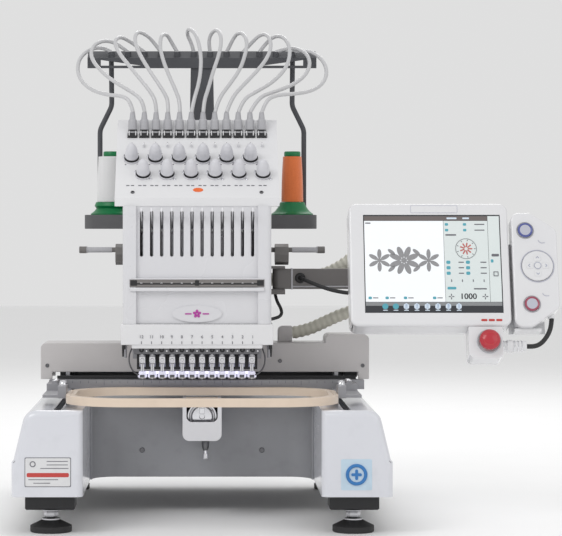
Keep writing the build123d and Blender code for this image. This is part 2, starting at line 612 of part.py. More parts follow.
def tree_plate():
    """The bent plate of the tree: a front flange and a sloping top band, with end windows."""
    y, (z0, z1) = TREE_FRONT_Y, TREE_FLANGE_Z
    by, bz = TREE_BACK
    t = TREE_SHEET
    outline = [(y, z0), (y, z1), (by, bz), (by, bz - t), (y + t, z1 - t * 0.6), (y + t, z0)]
    plate = along(outline, (-TREE_HALF_WIDTH, TREE_HALF_WIDTH))
    for side in SIDES:
        window = [(95 * side, z0 + 4), (160 * side, z0 + 4), (160 * side, z1 - 3)]
        plate -= across(window, (y - 1, y + t + 1))
    return plate


def tree_eyelet(x):
    """A short stub on the plate that holds a tube's end."""
    stub = rod((x, EYELET_Y, TREE_FLANGE_Z[1] - 1), (x, EYELET_Y, EYELET_TOP_Z), TUBE_R + 2)
    under = along([(TREE_FRONT_Y, 0), (TREE_FRONT_Y, TREE_FLANGE_Z[1]), TREE_BACK, (TREE_BACK[0], 0)],
                  (-TREE_HALF_WIDTH, TREE_HALF_WIDTH))
    return stub - under


# ---------------------------------------------------------------- sewing field drive
def beam_cover():
    """The long cover over the sideways rail, with the raised motor housing at its right end."""
    x0, x1 = BEAM_X
    outline = [(x0, BEAM_CHEEK_Z), (x0 + 18, BEAM_CHEEK_Z), (x0 + 18, BEAM_BOTTOM_Z), (x1 - 17, BEAM_BOTTOM_Z),
               (x1 - 17, BEAM_CHEEK_Z), (x1, BEAM_CHEEK_Z), (x1, MOTOR_BOX_TOP_Z), (MOTOR_BOX_X, MOTOR_BOX_TOP_Z),
               (MOTOR_BOX_X, BEAM_TOP_Z), (x0, BEAM_TOP_Z)]
    cover = across(outline, BEAM_Y)
    corner = [e for e in cover.edges().filter_by(Axis.Y)
              if e.center().Z > BEAM_TOP_Z - 1 and (abs(e.center().X - x0) < 1 or e.center().Z > MOTOR_BOX_TOP_Z - 1)]
    cover = fillet(corner, 8)
    inside = (BEAM_Y[0] + WALL, BEAM_Y[1] - WALL)
    cover -= block((x0 + WALL, x1 - WALL), inside, (BEAM_CHEEK_Z - 1, BEAM_TOP_Z - WALL))
    return cover - block((MOTOR_BOX_X + WALL, x1 - WALL), inside, (BEAM_BOTTOM_Z, MOTOR_BOX_TOP_Z - WALL))


def conduit_elbow():
    """The elbow on the beam that the conduit leaves."""
    x, y, z = CONDUIT_ROUTE[0]
    elbow = block((x - 22, x), (y - 13, y + 13), (BEAM_TOP_Z, z + CONDUIT_R + 1))
    return fillet(elbow.edges().filter_by(Axis.Y).sort_by(Axis.X)[0:2].sort_by(Axis.Z)[-1], 8)


def beam_frame():
    """The steel rail under the cover, its two posts and the sliders on the legs' rails."""
    post = (80.0, 140.0)
    rail_y = (95.0, 125.0)
    low = BEAM_BOTTOM_Z + 12
    frame = block((BEAM_X[0] + 12, BEAM_X[1] - 12), rail_y, (low, BEAM_TOP_Z - WALL))
    half = SLOT_WIDTH / 2 - 2
    slider_z = LEG_BEAM_TOP_Z + RUN_GAP
    for side in SIDES:
        x = side * SLOT_X
        frame += block((x - half, x + half), post, (slider_z + 25, low + 1))
        slider = block((x - 15, x + 15), post, (slider_z, slider_z + 26))
        groove = RAIL_SIZE / 2 + RUN_GAP
        slider -= block((x - groove, x + groove), (post[0] - 1, post[1] + 1), (0, slider_z + RAIL_SIZE))
        frame += slider
    return frame


def frame_bar():
    """The bar that hoops are fastened to, with its slider under the sideways rail."""
    bar = block(BAR_X, BAR_Y, BAR_Z)
    for side in SIDES:
        x = sum(BAR_X) / 2 + side * BAR_HOLE_SPACING / 2
        bar -= Pos(x, sum(BAR_Y) / 2, BAR_Z[0]) * Cylinder(BAR_HOLE_R, 100)
    bar += block((-35, 35), (BAR_Y[1] - 5, 124), (BAR_Z[0] + 5, BAR_Z[1]))
    return bar + block((-35, 35), (96, 124), (BAR_Z[1] - 1, BEAM_BOTTOM_Z + 12 - RUN_GAP))


def hoop_arm(side):
    """A bright arm from the bar along the hoop's end, with its clip."""
    inner = HOOP_HALF_WIDTH + RUN_GAP
    middle = sum(HOOP_Y) / 2
    arm = block((inner, 233), (middle - 20, BAR_Y[0]), (190, 194))
    arm += block((inner, inner + 12), (middle - 20, middle + 20), (189, 207))
    arm += block((inner + 10, 233), (-20, BAR_Y[0]), (193, 204))
    for y in (-10, 10):
        arm += Pos(inner + 22, y, 205) * Cylinder(5, 6)
    return arm if side > 0 else mirror(arm, Plane.YZ)


def hoop_ring(inset):
    """One ring of the hoop, inset from the hoop's outline."""
    x, (y0, y1) = HOOP_HALF_WIDTH - inset, HOOP_Y
    outer = RectangleRounded(2 * x, y1 - y0 - 2 * inset, HOOP_CORNER_R - inset)
    inner = RectangleRounded(2 * (x - HOOP_RING_WIDTH), y1 - y0 - 2 * (inset + HOOP_RING_WIDTH),
                             HOOP_CORNER_R - inset - HOOP_RING_WIDTH)
    ring = extrude(Pos(0, (y0 + y1) / 2, HOOP_Z[0]) * (outer - inner), HOOP_Z[1] - HOOP_Z[0])
    return fillet(ring.edges().group_by(Axis.Z)[-1], 1)


# ---------------------------------------------------------------- needle case
def case_span(inset):
    """The needle case's (low, high) X, inset on both sides."""
    return (CASE_CENTRE_X - CASE_HALF_WIDTH + inset, CASE_CENTRE_X + CASE_HALF_WIDTH - inset)


def case_frame():
    """The needle case's metal body: back, sides, two guide bars and the take-up levers' shaft."""
    cover = WALL + RUN_GAP
    outer, inner = case_span(cover), case_span(cover + CASE_SIDE)
    z = (CASE_BOTTOM_Z, CASE_TOP_Z)
    frame = block(outer, (8, CASE_BACK_Y), z)
    for side in ((outer[0], inner[0]), (inner[1], outer[1])):
        frame += block(side, (-38, 9), z)
    for low in (CASE_BOTTOM_Z + 4, CASE_TOP_Z - 15):
        frame += block((outer[0] + 1, outer[1] - 1), (-7, 9), (low, low + 12))
    frame += block((outer[0] + 10, outer[1] - 10), (10, CASE_BACK_Y), (240, CASE_BOTTOM_Z + 1))
    frame += rod((outer[0] + 1, *LEVER_PIVOT), (outer[1] - 1, *LEVER_PIVOT), 3)
    for low in CASE_RAIL_Z:
        frame -= block((outer[0] - 1, outer[1] + 1), (CASE_RAIL_FRONT_Y - RUN_GAP, CASE_BACK_Y + 1),
                       (low - RUN_GAP, low + CASE_RAIL_HEIGHT + RUN_GAP))
    for number in range(1, NEEDLES + 1):
        x = needle_x(number)
        frame -= rod((x, 0, CASE_BOTTOM_Z), (x, 0, CASE_TOP_Z + 1), NEEDLE_BAR_R + BORE_GAP)
        frame -= block((x - 2.8, x + 2.8), (4.7, 8), (CASE_BOTTOM_Z - 1, CASE_BOTTOM_Z + 20))
    return frame


def case_cover():
    """The case's white front: two pillars beside a set-back panel with the levers' slots."""
    x0, x1 = case_span(0)
    z = (CASE_COVER_Z, CASE_TOP_Z)
    cover = block((x0, x1), (CASE_FRONT_Y, CASE_BACK_Y), z)
    cover = fillet(cover.edges().filter_by(Axis.Z).filter_by(lambda e: e.center().Y < 0), 8)
    panel_y = CASE_FRONT_Y + 6
    cover -= block((x0 + 20, x1 - 20), (CASE_FRONT_Y - 1, panel_y), (CASE_COVER_Z - 1, CASE_TOP_Z + 1))
    cover -= block((x0 + WALL, x1 - WALL), (panel_y + WALL, CASE_BACK_Y + 1), (CASE_COVER_Z - 1, CASE_TOP_Z + 1))
    for low in CASE_RAIL_Z:
        cover -= block((x0 - 1, x1 + 1), (CASE_RAIL_FRONT_Y - RUN_GAP, CASE_BACK_Y + 1),
                       (low - RUN_GAP, low + CASE_RAIL_HEIGHT + RUN_GAP))
    for number in range(1, NEEDLES + 1):
        slot_x = needle_x(number)
        slot = block((slot_x - LEVER_SLOT_WIDTH / 2, slot_x + LEVER_SLOT_WIDTH / 2),
                     (panel_y - 1, panel_y + WALL + 1), LEVER_SLOT_Z)
        cover -= fillet(slot.edges().filter_by(Axis.Y), LEVER_SLOT_WIDTH / 2 - 0.1)
    pad = Plane(origin=(CASE_CENTRE_X, panel_y + 1, 310), x_dir=(1, 0, 0), z_dir=(0, -1, 0))
    return cover + pad * extrude(Ellipse(37, 12.5), 3)


def number_visor():
    """The visor across the case's foot, where the needles' numbers stand."""
    low, high = CASE_BOTTOM_Z + 2, CASE_COVER_Z - RUN_GAP
    x0, x1 = case_span(-2.5)
    outline = [(CASE_FRONT_Y - 3, low), (CASE_FRONT_Y - 1, high), (20, high), (20, low)]
    visor = along(outline, (x0, x1))
    return visor - block((x0 + WALL + 2.5, x1 - WALL - 2.5), (CASE_FRONT_Y + WALL, 21), (low - 1, high + 1))


def needle_bar(number):
    """A needle bar with its collar, clamp, clamp screw and needle."""
    x = needle_x(number)
    top = CASE_TOP_Z - 0.5
    bar = rod((x, 0, 240), (x, 0, top), NEEDLE_BAR_R)
    bar += rod((x, 0, 380), (x, 0, 388), 5)
    bar += rod((x, 0, 232), (x, 0, 246), CLAMP_R)
    bar += rod((x, -3, 239), (x, -7, 239), 1.5)
    shank = turned([(0, NEEDLE_TIP_Z), (NEEDLE_R, NEEDLE_TIP_Z + 5), (NEEDLE_R, 233), (0, 233)])
    return bar + Pos(x, 0, 0) * shank


def presser_foot(number):
    """A presser foot: a ring round the needle on a flat stem behind the bar."""
    x = needle_x(number)
    ring = Pos(x, 0, FOOT_SOLE_Z + 2.5) * (Cylinder(6.5, 5) - Cylinder(2.2, 6))
    return ring + block((x - 2.5, x + 2.5), (5, 7.7), (FOOT_SOLE_Z, 300))


def take_up_lever(number):
    """A take-up lever on the case's lever shaft, its eye in front of the slot."""
    x = needle_x(number)
    half = LEVER_THICKNESS / 2
    (py, pz), (ty, tz) = LEVER_PIVOT, LEVER_TIP
    reach = hypot(ty - py, tz - pz)
    ny, nz = -(tz - pz) / reach, (ty - py) / reach
    arm = along([(py + 3.6 * ny, pz + 3.6 * nz), (ty + 2.5 * ny, tz + 2.5 * nz),
                 (ty - 2.5 * ny, tz - 2.5 * nz), (py - 3.6 * ny, pz - 3.6 * nz)], (x - half, x + half))
    arm += rod((x - half, py, pz), (x + half, py, pz), 6)
    arm += rod((x - half, ty, tz), (x + half, ty, tz), 3.6)
    arm -= rod((x - half - 1, ty, tz), (x + half + 1, ty, tz), 1.4)
    return arm - rod((x - half - 1, py, pz), (x + half + 1, py, pz), 3 + BORE_GAP)


def case_side_pins():
    """The two black guide pins under the visor's ends."""
    x0, x1 = case_span(3)
    return [rod((x, -20, 243), (x, -20, CASE_BOTTOM_Z + 2), 2.4) for x in (x0, x1)]


# ---------------------------------------------------------------- tension box
SLOPE = (SLOPE_END[0] - SLOPE_START[0], SLOPE_END[1] - SLOPE_START[1])
SLOPE_LENGTH = hypot(*SLOPE)
SLOPE_OUT = (0.0, -SLOPE[1] / SLOPE_LENGTH, SLOPE[0] / SLOPE_LENGTH)


def tension_outline(inset):
    """The tension box's outline in YZ, inset by a wall."""
    (y0, z0), (y1, z1) = SLOPE_START, SLOPE_END
    return [(y0 + inset, CASE_TOP_Z + inset), (y0 + inset, z0 - inset / 3), (y1 - inset / 3, z1 - inset),
            (y1 + 9 - inset, z1 - inset), (y1 + 9 - inset, z1 - 16), (CASE_BACK_Y - inset / 2, CASE_TOP_Z + inset)]


def tension_box():
    """The sloping box that carries the tension knobs, with their studs."""
    x = (CASE_CENTRE_X - TENSION_HALF_WIDTH, CASE_CENTRE_X + TENSION_HALF_WIDTH)
    box = along(tension_outline(0), x)
    box -= along(tension_outline(WALL), (x[0] + WALL, x[1] - WALL))
    for number in range(1, NEEDLES + 1):
        base = knob_base(number)
        tip = [b + n * (KNOB_LENGTH - 8) for b, n in zip(base, SLOPE_OUT)]
        box += rod(base, tip, KNOB_STUD_R)
    return box


def knob_base(number):
    """Where a tension knob's axis leaves the slope."""
    share = KNOB_ROWS[number % 2]
    return (thread_x(number), SLOPE_START[0] + share * SLOPE[0], SLOPE_START[1] + share * SLOPE[1])


def tension_knob(number):
    """A bullet-shaped tension knob with its washers."""
    length, r = KNOB_LENGTH, KNOB_R
    bore = KNOB_STUD_R + BORE_GAP
    outline = [(bore, RUN_GAP), (r + 2, RUN_GAP), (r + 2, 2.5), (r - 2, 3.5), (r - 2, 5), (r, 6), (r - 0.5, 16),
               (r - 2.5, 23), (r - 5.5, 28), (r - 8, length), (0, length), (0, length - 7.5), (bore, length - 7.5)]
    return Plane(origin=knob_base(number), x_dir=(1, 0, 0), z_dir=SLOPE_OUT) * turned(outline)


def tube_connector(number):
    """The upright stub on the slope that a thread tube enters."""
    x = thread_x(number)
    stub = rod((x, CONNECTOR_Y, SLOPE_END[1] - 34), (x, CONNECTOR_Y, CONNECTOR_TOP_Z), CONNECTOR_R)
    return stub - along(tension_outline(0), (x - 20, x + 20))


# ---------------------------------------------------------------- control panel
PANEL = Plane(origin=PANEL_CENTRE, x_dir=(1, 0, 0),
              z_dir=(0, -cos(radians(PANEL_TILT)), sin(radians(PANEL_TILT))))


def on_panel(x, v, w):
    """A place given across, up and out of the panel's face, in the machine's axes."""
    return tuple(PANEL.from_local_coords((x, v, w)))


def panel_arm():
    """The arm that swings on the bracket and carries the tilting panel."""
    z0, z1 = PANEL_ARM_Z
    end_x = PANEL_CENTRE[0] + YOKE_X[1] - RUN_GAP
    start_x = PANEL_CENTRE[0] + YOKE_X[0] + RUN_GAP
    _, axis_y, axis_z = on_panel(0, TILT_AXIS_V, TILT_AXIS_W)
    arm = block((SWING_X, end_x), (SWING_Y - 10, SWING_Y + 10), (z0, z1))
    arm += rod((SWING_X, SWING_Y, z0), (SWING_X, SWING_Y, z1), 10)
    arm += block((start_x, end_x), (axis_y, SWING_Y), (axis_z - YOKE_R, axis_z + YOKE_R))
    arm += rod((start_x, axis_y, axis_z), (end_x, axis_y, axis_z), YOKE_R)
    arm -= rod((start_x - 1, axis_y, axis_z), (end_x + 1, axis_y, axis_z), YOKE_PIN_R + BORE_GAP)
    return arm - rod((SWING_X, SWING_Y, z0 - 1), (SWING_X, SWING_Y, z1 + 1), SWING_PIN_R + BORE_GAP)


def panel_housing():
    """The panel's casing with the screen's recess, the tilt ears and the controller's cradle."""
    hx, hv = PANEL_WIDTH / 2, PANEL_HEIGHT / 2
    box = block((-hx, hx), (-hv, hv), (-PANEL_DEPTH, 0))
    box = fillet(box.edges().filter_by(Axis.Z), 12)
    box = fillet(box.edges().group_by(Axis.Z)[-1], 4)
    box -= block((-hx + WALL, hx - WALL), (-hv + WALL, hv - WALL), (-PANEL_DEPTH + WALL, -WALL - SCREEN_RECESS))
    box -= block(SCREEN_X, SCREEN_V, (-SCREEN_RECESS, 1))
    for low in (YOKE_X[0] - 7, YOKE_X[1]):
        x = (low, low + 7)
        ear = block(x, (TILT_AXIS_V - YOKE_R, TILT_AXIS_V + YOKE_R), (TILT_AXIS_W, -PANEL_DEPTH))
        box += ear + rod((x[0], TILT_AXIS_V, TILT_AXIS_W), (x[1], TILT_AXIS_V, TILT_AXIS_W), YOKE_R)
    box += rod((YOKE_X[0] - 5, TILT_AXIS_V, TILT_AXIS_W), (YOKE_X[1] + 5, TILT_AXIS_V, TILT_AXIS_W), YOKE_PIN_R)
    back = PENDANT_W[0] - RUN_GAP
    low = PENDANT_V[0] - RUN_GAP
    box += block((hx - 1, PENDANT_X[1] - 20), (low - 4, 40), (back - 4, back))
    box += block((PENDANT_X[0], PENDANT_X[0] + 40), (low - 4, low), (back - 1, back + 18))
    return PANEL.location * box


def panel_screen():
    """The glass of the touch screen in its recess."""
    gap = RUN_GAP / 2
    glass = block((SCREEN_X[0] + gap, SCREEN_X[1] - gap), (SCREEN_V[0] + gap, SCREEN_V[1] - gap),
                  (-SCREEN_RECESS, -0.5))
    return PANEL.location * glass


def stop_box():
    """The box of the emergency stop under the panel's right corner, and its cable connector."""
    x, v = STOP_BUTTON
    box = block(STOP_BOX_X, STOP_BOX_V, (-PANEL_DEPTH + 4, -2))
    box = fillet(box.edges().filter_by(Axis.Z).group_by(Axis.Y)[0], 8)
    box -= Pos(x, v, -2) * Cylinder(6 + RUN_GAP, 50)
    cx, cv, cw = PENDANT_CABLE_ROUTE[0]
    connector = rod((STOP_BOX_X[1] - 1, cv, cw), (cx, cv, cw), 8)
    connector += rod((STOP_BOX_X[1] + 8, cv, cw), (STOP_BOX_X[1] + 16, cv, cw), 9.5)
    return PANEL.location * (box + connector)


def stop_button():
    """The red mushroom head of the emergency stop on its stem."""
    x, v = STOP_BUTTON
    r = STOP_BUTTON_R
    outline = [(0, -16), (6, -16), (6, 4), (r - 2, 4), (r, 6), (r, 11), (r - 3, 14.5), (r - 8, 16.5), (0, 17)]
    return PANEL.location * (Pos(x, v, 0) * turned(outline))


def pendant():
    """The hand controller, with wells for its keys and a gland for its cable."""
    (x0, x1), (v0, v1) = PENDANT_X, PENDANT_V
    outline = Polyline((x0, v0), (x0 + 27, v0), (x1, v0 + 29), (x1, v1 - 26), (x1 - 38, v1), (x0, v1), close=True)
    body = Pos(0, 0, PENDANT_W[0]) * extrude(make_face(outline), PENDANT_W[1] - PENDANT_W[0])
    body = fillet(body.edges().filter_by(Axis.Z), PENDANT_CORNER_R)
    body = fillet(body.edges().group_by(Axis.Z)[-1], 3)
    for x, v, r in PENDANT_KEYS.values():
        body -= Pos(x, v, PENDANT_W[1]) * Cylinder(r + RUN_GAP, 12)
    gx, gv, gw = PENDANT_CABLE_ROUTE[-1]
    return PANEL.location * (body + rod((gx, gv, gw), (gx - 1, gv + 18, gw), 5))


def pendant_key(name):
    """A key of the hand controller: a flat cap in its well."""
    x, v, r = PENDANT_KEYS[name]
    top = PENDANT_W[1]
    cap = Pos(x, v, 0) * turned([(0, top - 4), (r, top - 4), (r, top + 2), (r - 1.5, top + 3.2), (0, top + 3.2)])
    return PANEL.location * cap


# ---------------------------------------------------------------- assembly
def collect():
    """Every node's solids, in the machine's layout axes."""
    feet = {f"foot_{end}_{side}": levelling_foot(sign * FOOT_X, y)
            for end, y in zip(("front", "rear"), FOOT_Y)
            for side, sign in zip(("left", "right"), SIDES)}
    blocks = [solid for x in (-FOOT_X, FOOT_X) for y in FOOT_Y for solid in foot_block(x, y)]
    cover, beam = leg_cover(), leg_beam()
    handle = side_handle()
    cable = [on_panel(*p) for p in PENDANT_CABLE_ROUTE]
    eyelets = [tree_eyelet((k - (NEEDLES - 1) / 2) * EYELET_PITCH) for k in range(NEEDLES)]
    connectors = [tube_connector(NEEDLES - k) for k in range(NEEDLES)]
    tubes = [trimmed(line_of(f"tube {k + 1}", route, TUBE_R), eyelets[k], connectors[k])
             for k, route in enumerate(TUBE_ROUTES)]
    head, elbow, bracket, arm = head_cover(), conduit_elbow(), panel_bracket(), panel_arm()
    housing, stop, controller = panel_housing(), stop_box(), pendant()
    conduit = trimmed(line_of("frame conduit", CONDUIT_ROUTE, CONDUIT_R), head, elbow)
    case_cable = trimmed(line_of("case cable", CASE_CABLE_ROUTE, CASE_CABLE_R), bracket, case_cover())
    panel_cable = trimmed(line_of("panel cable", PANEL_CABLE_ROUTE, PANEL_CABLE_R), arm, housing)
    pendant_cable = trimmed(line_of("pendant cable", cable, PENDANT_CABLE_R), stop, controller)
    nodes = {
        "left_leg_cover": mirror(cover, Plane.YZ),
        "right_leg_cover": cover,
        "leg_beams": both_sides(beam) + blocks,
        "cross_panel": cross_panel(),
        "cross_box": cross_box(),
        "hook_arm": hook_arm(),
        "needle_plate": needle_plate(),
        "bobbin_case": bobbin_case(),
        "hook_arm_ring": hook_arm_ring(),
        "head_cover": head,
        "column_cover": column_cover(),
        "bearing_blocks": bearing_blocks(),
        "main_motor": main_motor(),
        "drive_belt": drive_belt(),
        "side_handles": both_sides(handle),
        "panel_bracket": bracket,
        "spool_tray": spool_tray(),
        "spool_pins": [spool_pin(*p) for p in pin_places()],
        "tree_supports": [tree_post()] + [tree_strut(side) for side in SIDES],
        "tree_plate": [tree_plate()] + eyelets,
        "thread_tubes": tubes,
        "frame_conduit": conduit,
        "case_cable": case_cable,
        "beam_cover": [beam_cover(), elbow],
        "beam_frame": beam_frame(),
        "frame_bar": frame_bar(),
        "hoop_arms": [hoop_arm(side) for side in SIDES],
        "hoop_outer_ring": hoop_ring(0),
        "hoop_inner_ring": hoop_ring(HOOP_RING_WIDTH + RUN_GAP / 2),
        "needle_case_frame": [case_frame()] + case_side_pins(),
        "needle_case_cover": case_cover(),
        "number_visor": number_visor(),
        "parked_needle_bars": [needle_bar(n) for n in PARKED],
        "parked_presser_feet": [presser_foot(n) for n in PARKED],
        "parked_take_up_levers": [take_up_lever(n) for n in PARKED],
        "tension_box": tension_box(),
        "parked_tension_knobs": [tension_knob(n) for n in PARKED],
        "tube_connectors": connectors,
        "needle_bar_6": needle_bar(ACTIVE_NEEDLE),
        "presser_foot_6": presser_foot(ACTIVE_NEEDLE),
        "take_up_lever_6": take_up_lever(ACTIVE_NEEDLE),
        "tension_knob_6": tension_knob(ACTIVE_NEEDLE),
        "main_shaft": main_shaft(),
        "rotary_hook": rotary_hook(),
        "panel_arm": arm,
        "panel_cable": panel_cable,
        "panel_housing": [housing, stop],
        "panel_screen": panel_screen(),
        "emergency_stop": stop_button(),
        "pendant_cable": pendant_cable,
        "pendant_housing": controller,
        "left_thread_cone": thread_cone("left"),
        "right_thread_cone": thread_cone("right"),
    }
    nodes.update(feet)
    nodes.update({name: pendant_key(name) for name in PENDANT_KEYS})
    return nodes


CORDS = ("thread_tubes", "frame_conduit", "case_cable", "panel_cable", "pendant_cable")


def build():
    """The nodes moved to the part's frame, and the shift that was applied."""
    nodes = {name: made if isinstance(made, list) else [made] for name, made in collect().items()}
    firm = Compound(children=[Compound(solid.wrapped) for name, made in nodes.items() if name not in CORDS
                              for solid in made])
    box = firm.bounding_box()
    shift = (-(box.min.X + box.max.X) / 2, -(box.min.Y + box.max.Y) / 2, -box.min.Z)
    moved = {name: [Pos(*shift) * solid for solid in made] for name, made in nodes.items()}
    return moved, shift


def main():
    """Write one STEP file per node."""
    os.makedirs("parts", exist_ok=True)
    nodes, shift = build()
    print("nodes", len(nodes), "shift", [round(value, 3) for value in shift])
    for name, made in nodes.items():
        solids = [solid for shape in made for solid in shape.solids()]
        export_step(solids[0] if len(solids) == 1 else Compound(children=solids), f"parts/{name}.step")


if __name__ == "__main__":
    main()
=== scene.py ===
"""Looks of the twelve-needle embroidery machine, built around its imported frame.

Shapes are laid out in millimetres from the sewing axis: X to the operator's right, Y away from the
operator, Z up from the floor. Layout turns them into the frame's metres.
"""

import json
import logging
import math
from collections.abc import Iterator
from contextlib import contextmanager
from dataclasses import dataclass, field
from enum import Enum

import bmesh
import bpy
from mathutils import Matrix, Vector

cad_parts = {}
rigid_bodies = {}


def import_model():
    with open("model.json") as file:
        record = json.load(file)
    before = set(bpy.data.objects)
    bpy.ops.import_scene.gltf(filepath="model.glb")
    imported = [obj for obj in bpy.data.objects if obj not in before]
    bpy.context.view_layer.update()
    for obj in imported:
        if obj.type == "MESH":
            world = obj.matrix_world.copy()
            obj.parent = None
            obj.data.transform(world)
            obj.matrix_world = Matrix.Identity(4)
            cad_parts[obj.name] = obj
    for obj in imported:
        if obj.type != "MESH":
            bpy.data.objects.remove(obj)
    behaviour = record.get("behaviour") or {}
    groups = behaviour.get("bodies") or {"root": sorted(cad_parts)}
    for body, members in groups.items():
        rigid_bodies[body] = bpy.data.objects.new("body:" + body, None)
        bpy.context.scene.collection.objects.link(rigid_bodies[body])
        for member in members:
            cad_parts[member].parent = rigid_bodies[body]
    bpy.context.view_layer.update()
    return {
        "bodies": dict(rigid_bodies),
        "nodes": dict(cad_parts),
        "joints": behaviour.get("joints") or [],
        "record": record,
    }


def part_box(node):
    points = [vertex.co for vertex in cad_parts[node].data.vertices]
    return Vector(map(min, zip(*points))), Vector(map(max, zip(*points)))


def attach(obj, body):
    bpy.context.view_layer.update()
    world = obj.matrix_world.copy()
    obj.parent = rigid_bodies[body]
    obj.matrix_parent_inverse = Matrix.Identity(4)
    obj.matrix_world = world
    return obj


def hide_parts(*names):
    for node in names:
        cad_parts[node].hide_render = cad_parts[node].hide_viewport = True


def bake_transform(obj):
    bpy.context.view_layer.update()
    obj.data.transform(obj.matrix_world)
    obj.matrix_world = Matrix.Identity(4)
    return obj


LOG = logging.getLogger("embroidery_machine")
MM = 0.001
SIDES = (-1, 1)
NEEDLES = 12
ACTIVE = 6
NUMBERS = tuple(range(1, NEEDLES + 1))
CASE_MIDDLE = -7.5
Place = tuple[float, float, float]
Span = tuple[float, float]


@dataclass(frozen=True)
class NeedleSet:
    """Needles that move alike, the end of their pieces' names and the bodies that carry them."""

    numbers: tuple[int, ...]
    suffix: str
    bar: str = "needle_case"
    foot: str = "needle_case"
    knob: str = "needle_case"


NEEDLE_SETS = (
    NeedleSet(tuple(n for n in NUMBERS if n != ACTIVE), "parked"),
    NeedleSet((ACTIVE,), "active", f"needle_bar_{ACTIVE}", f"presser_foot_{ACTIVE}",
              f"tension_knob_{ACTIVE}"),
)


# ---------------------------------------------------------------- finishes
class Surface(Enum):
    """What a finish's surface is like."""

    MOULDED = "moulded"
    BRUSHED = "brushed"
    WOUND = "wound"
    GLOWING = "glowing"


def wire(tree: bpy.types.NodeTree, node: bpy.types.Node, inputs: dict) -> None:
    """Give a node's inputs their values and wires.

    Args:
        tree: the tree that the node stands in.
        node: the node.
        inputs: for each input, by name or number, a plain value or another node's output.
    """
    for label, given in inputs.items():
        if isinstance(given, bpy.types.NodeSocket):
            tree.links.new(given, node.inputs[label])
        else:
            node.inputs[label].default_value = given


def add_node(tree: bpy.types.NodeTree, kind: str, inputs: dict, **choices: str) -> bpy.types.Node:
    """Add a shader node to a tree.

    Args:
        tree: the material's or the group's tree.
        kind: the node's type, without its prefix.
        inputs: what its inputs get, as in wire.
        choices: its own settings, such as its operation.

    Returns:
        The new node.
    """
    made = tree.nodes.new(f"ShaderNode{kind}")
    for label, choice in choices.items():
        setattr(made, label, choice)
    wire(tree, made, inputs)
    return made


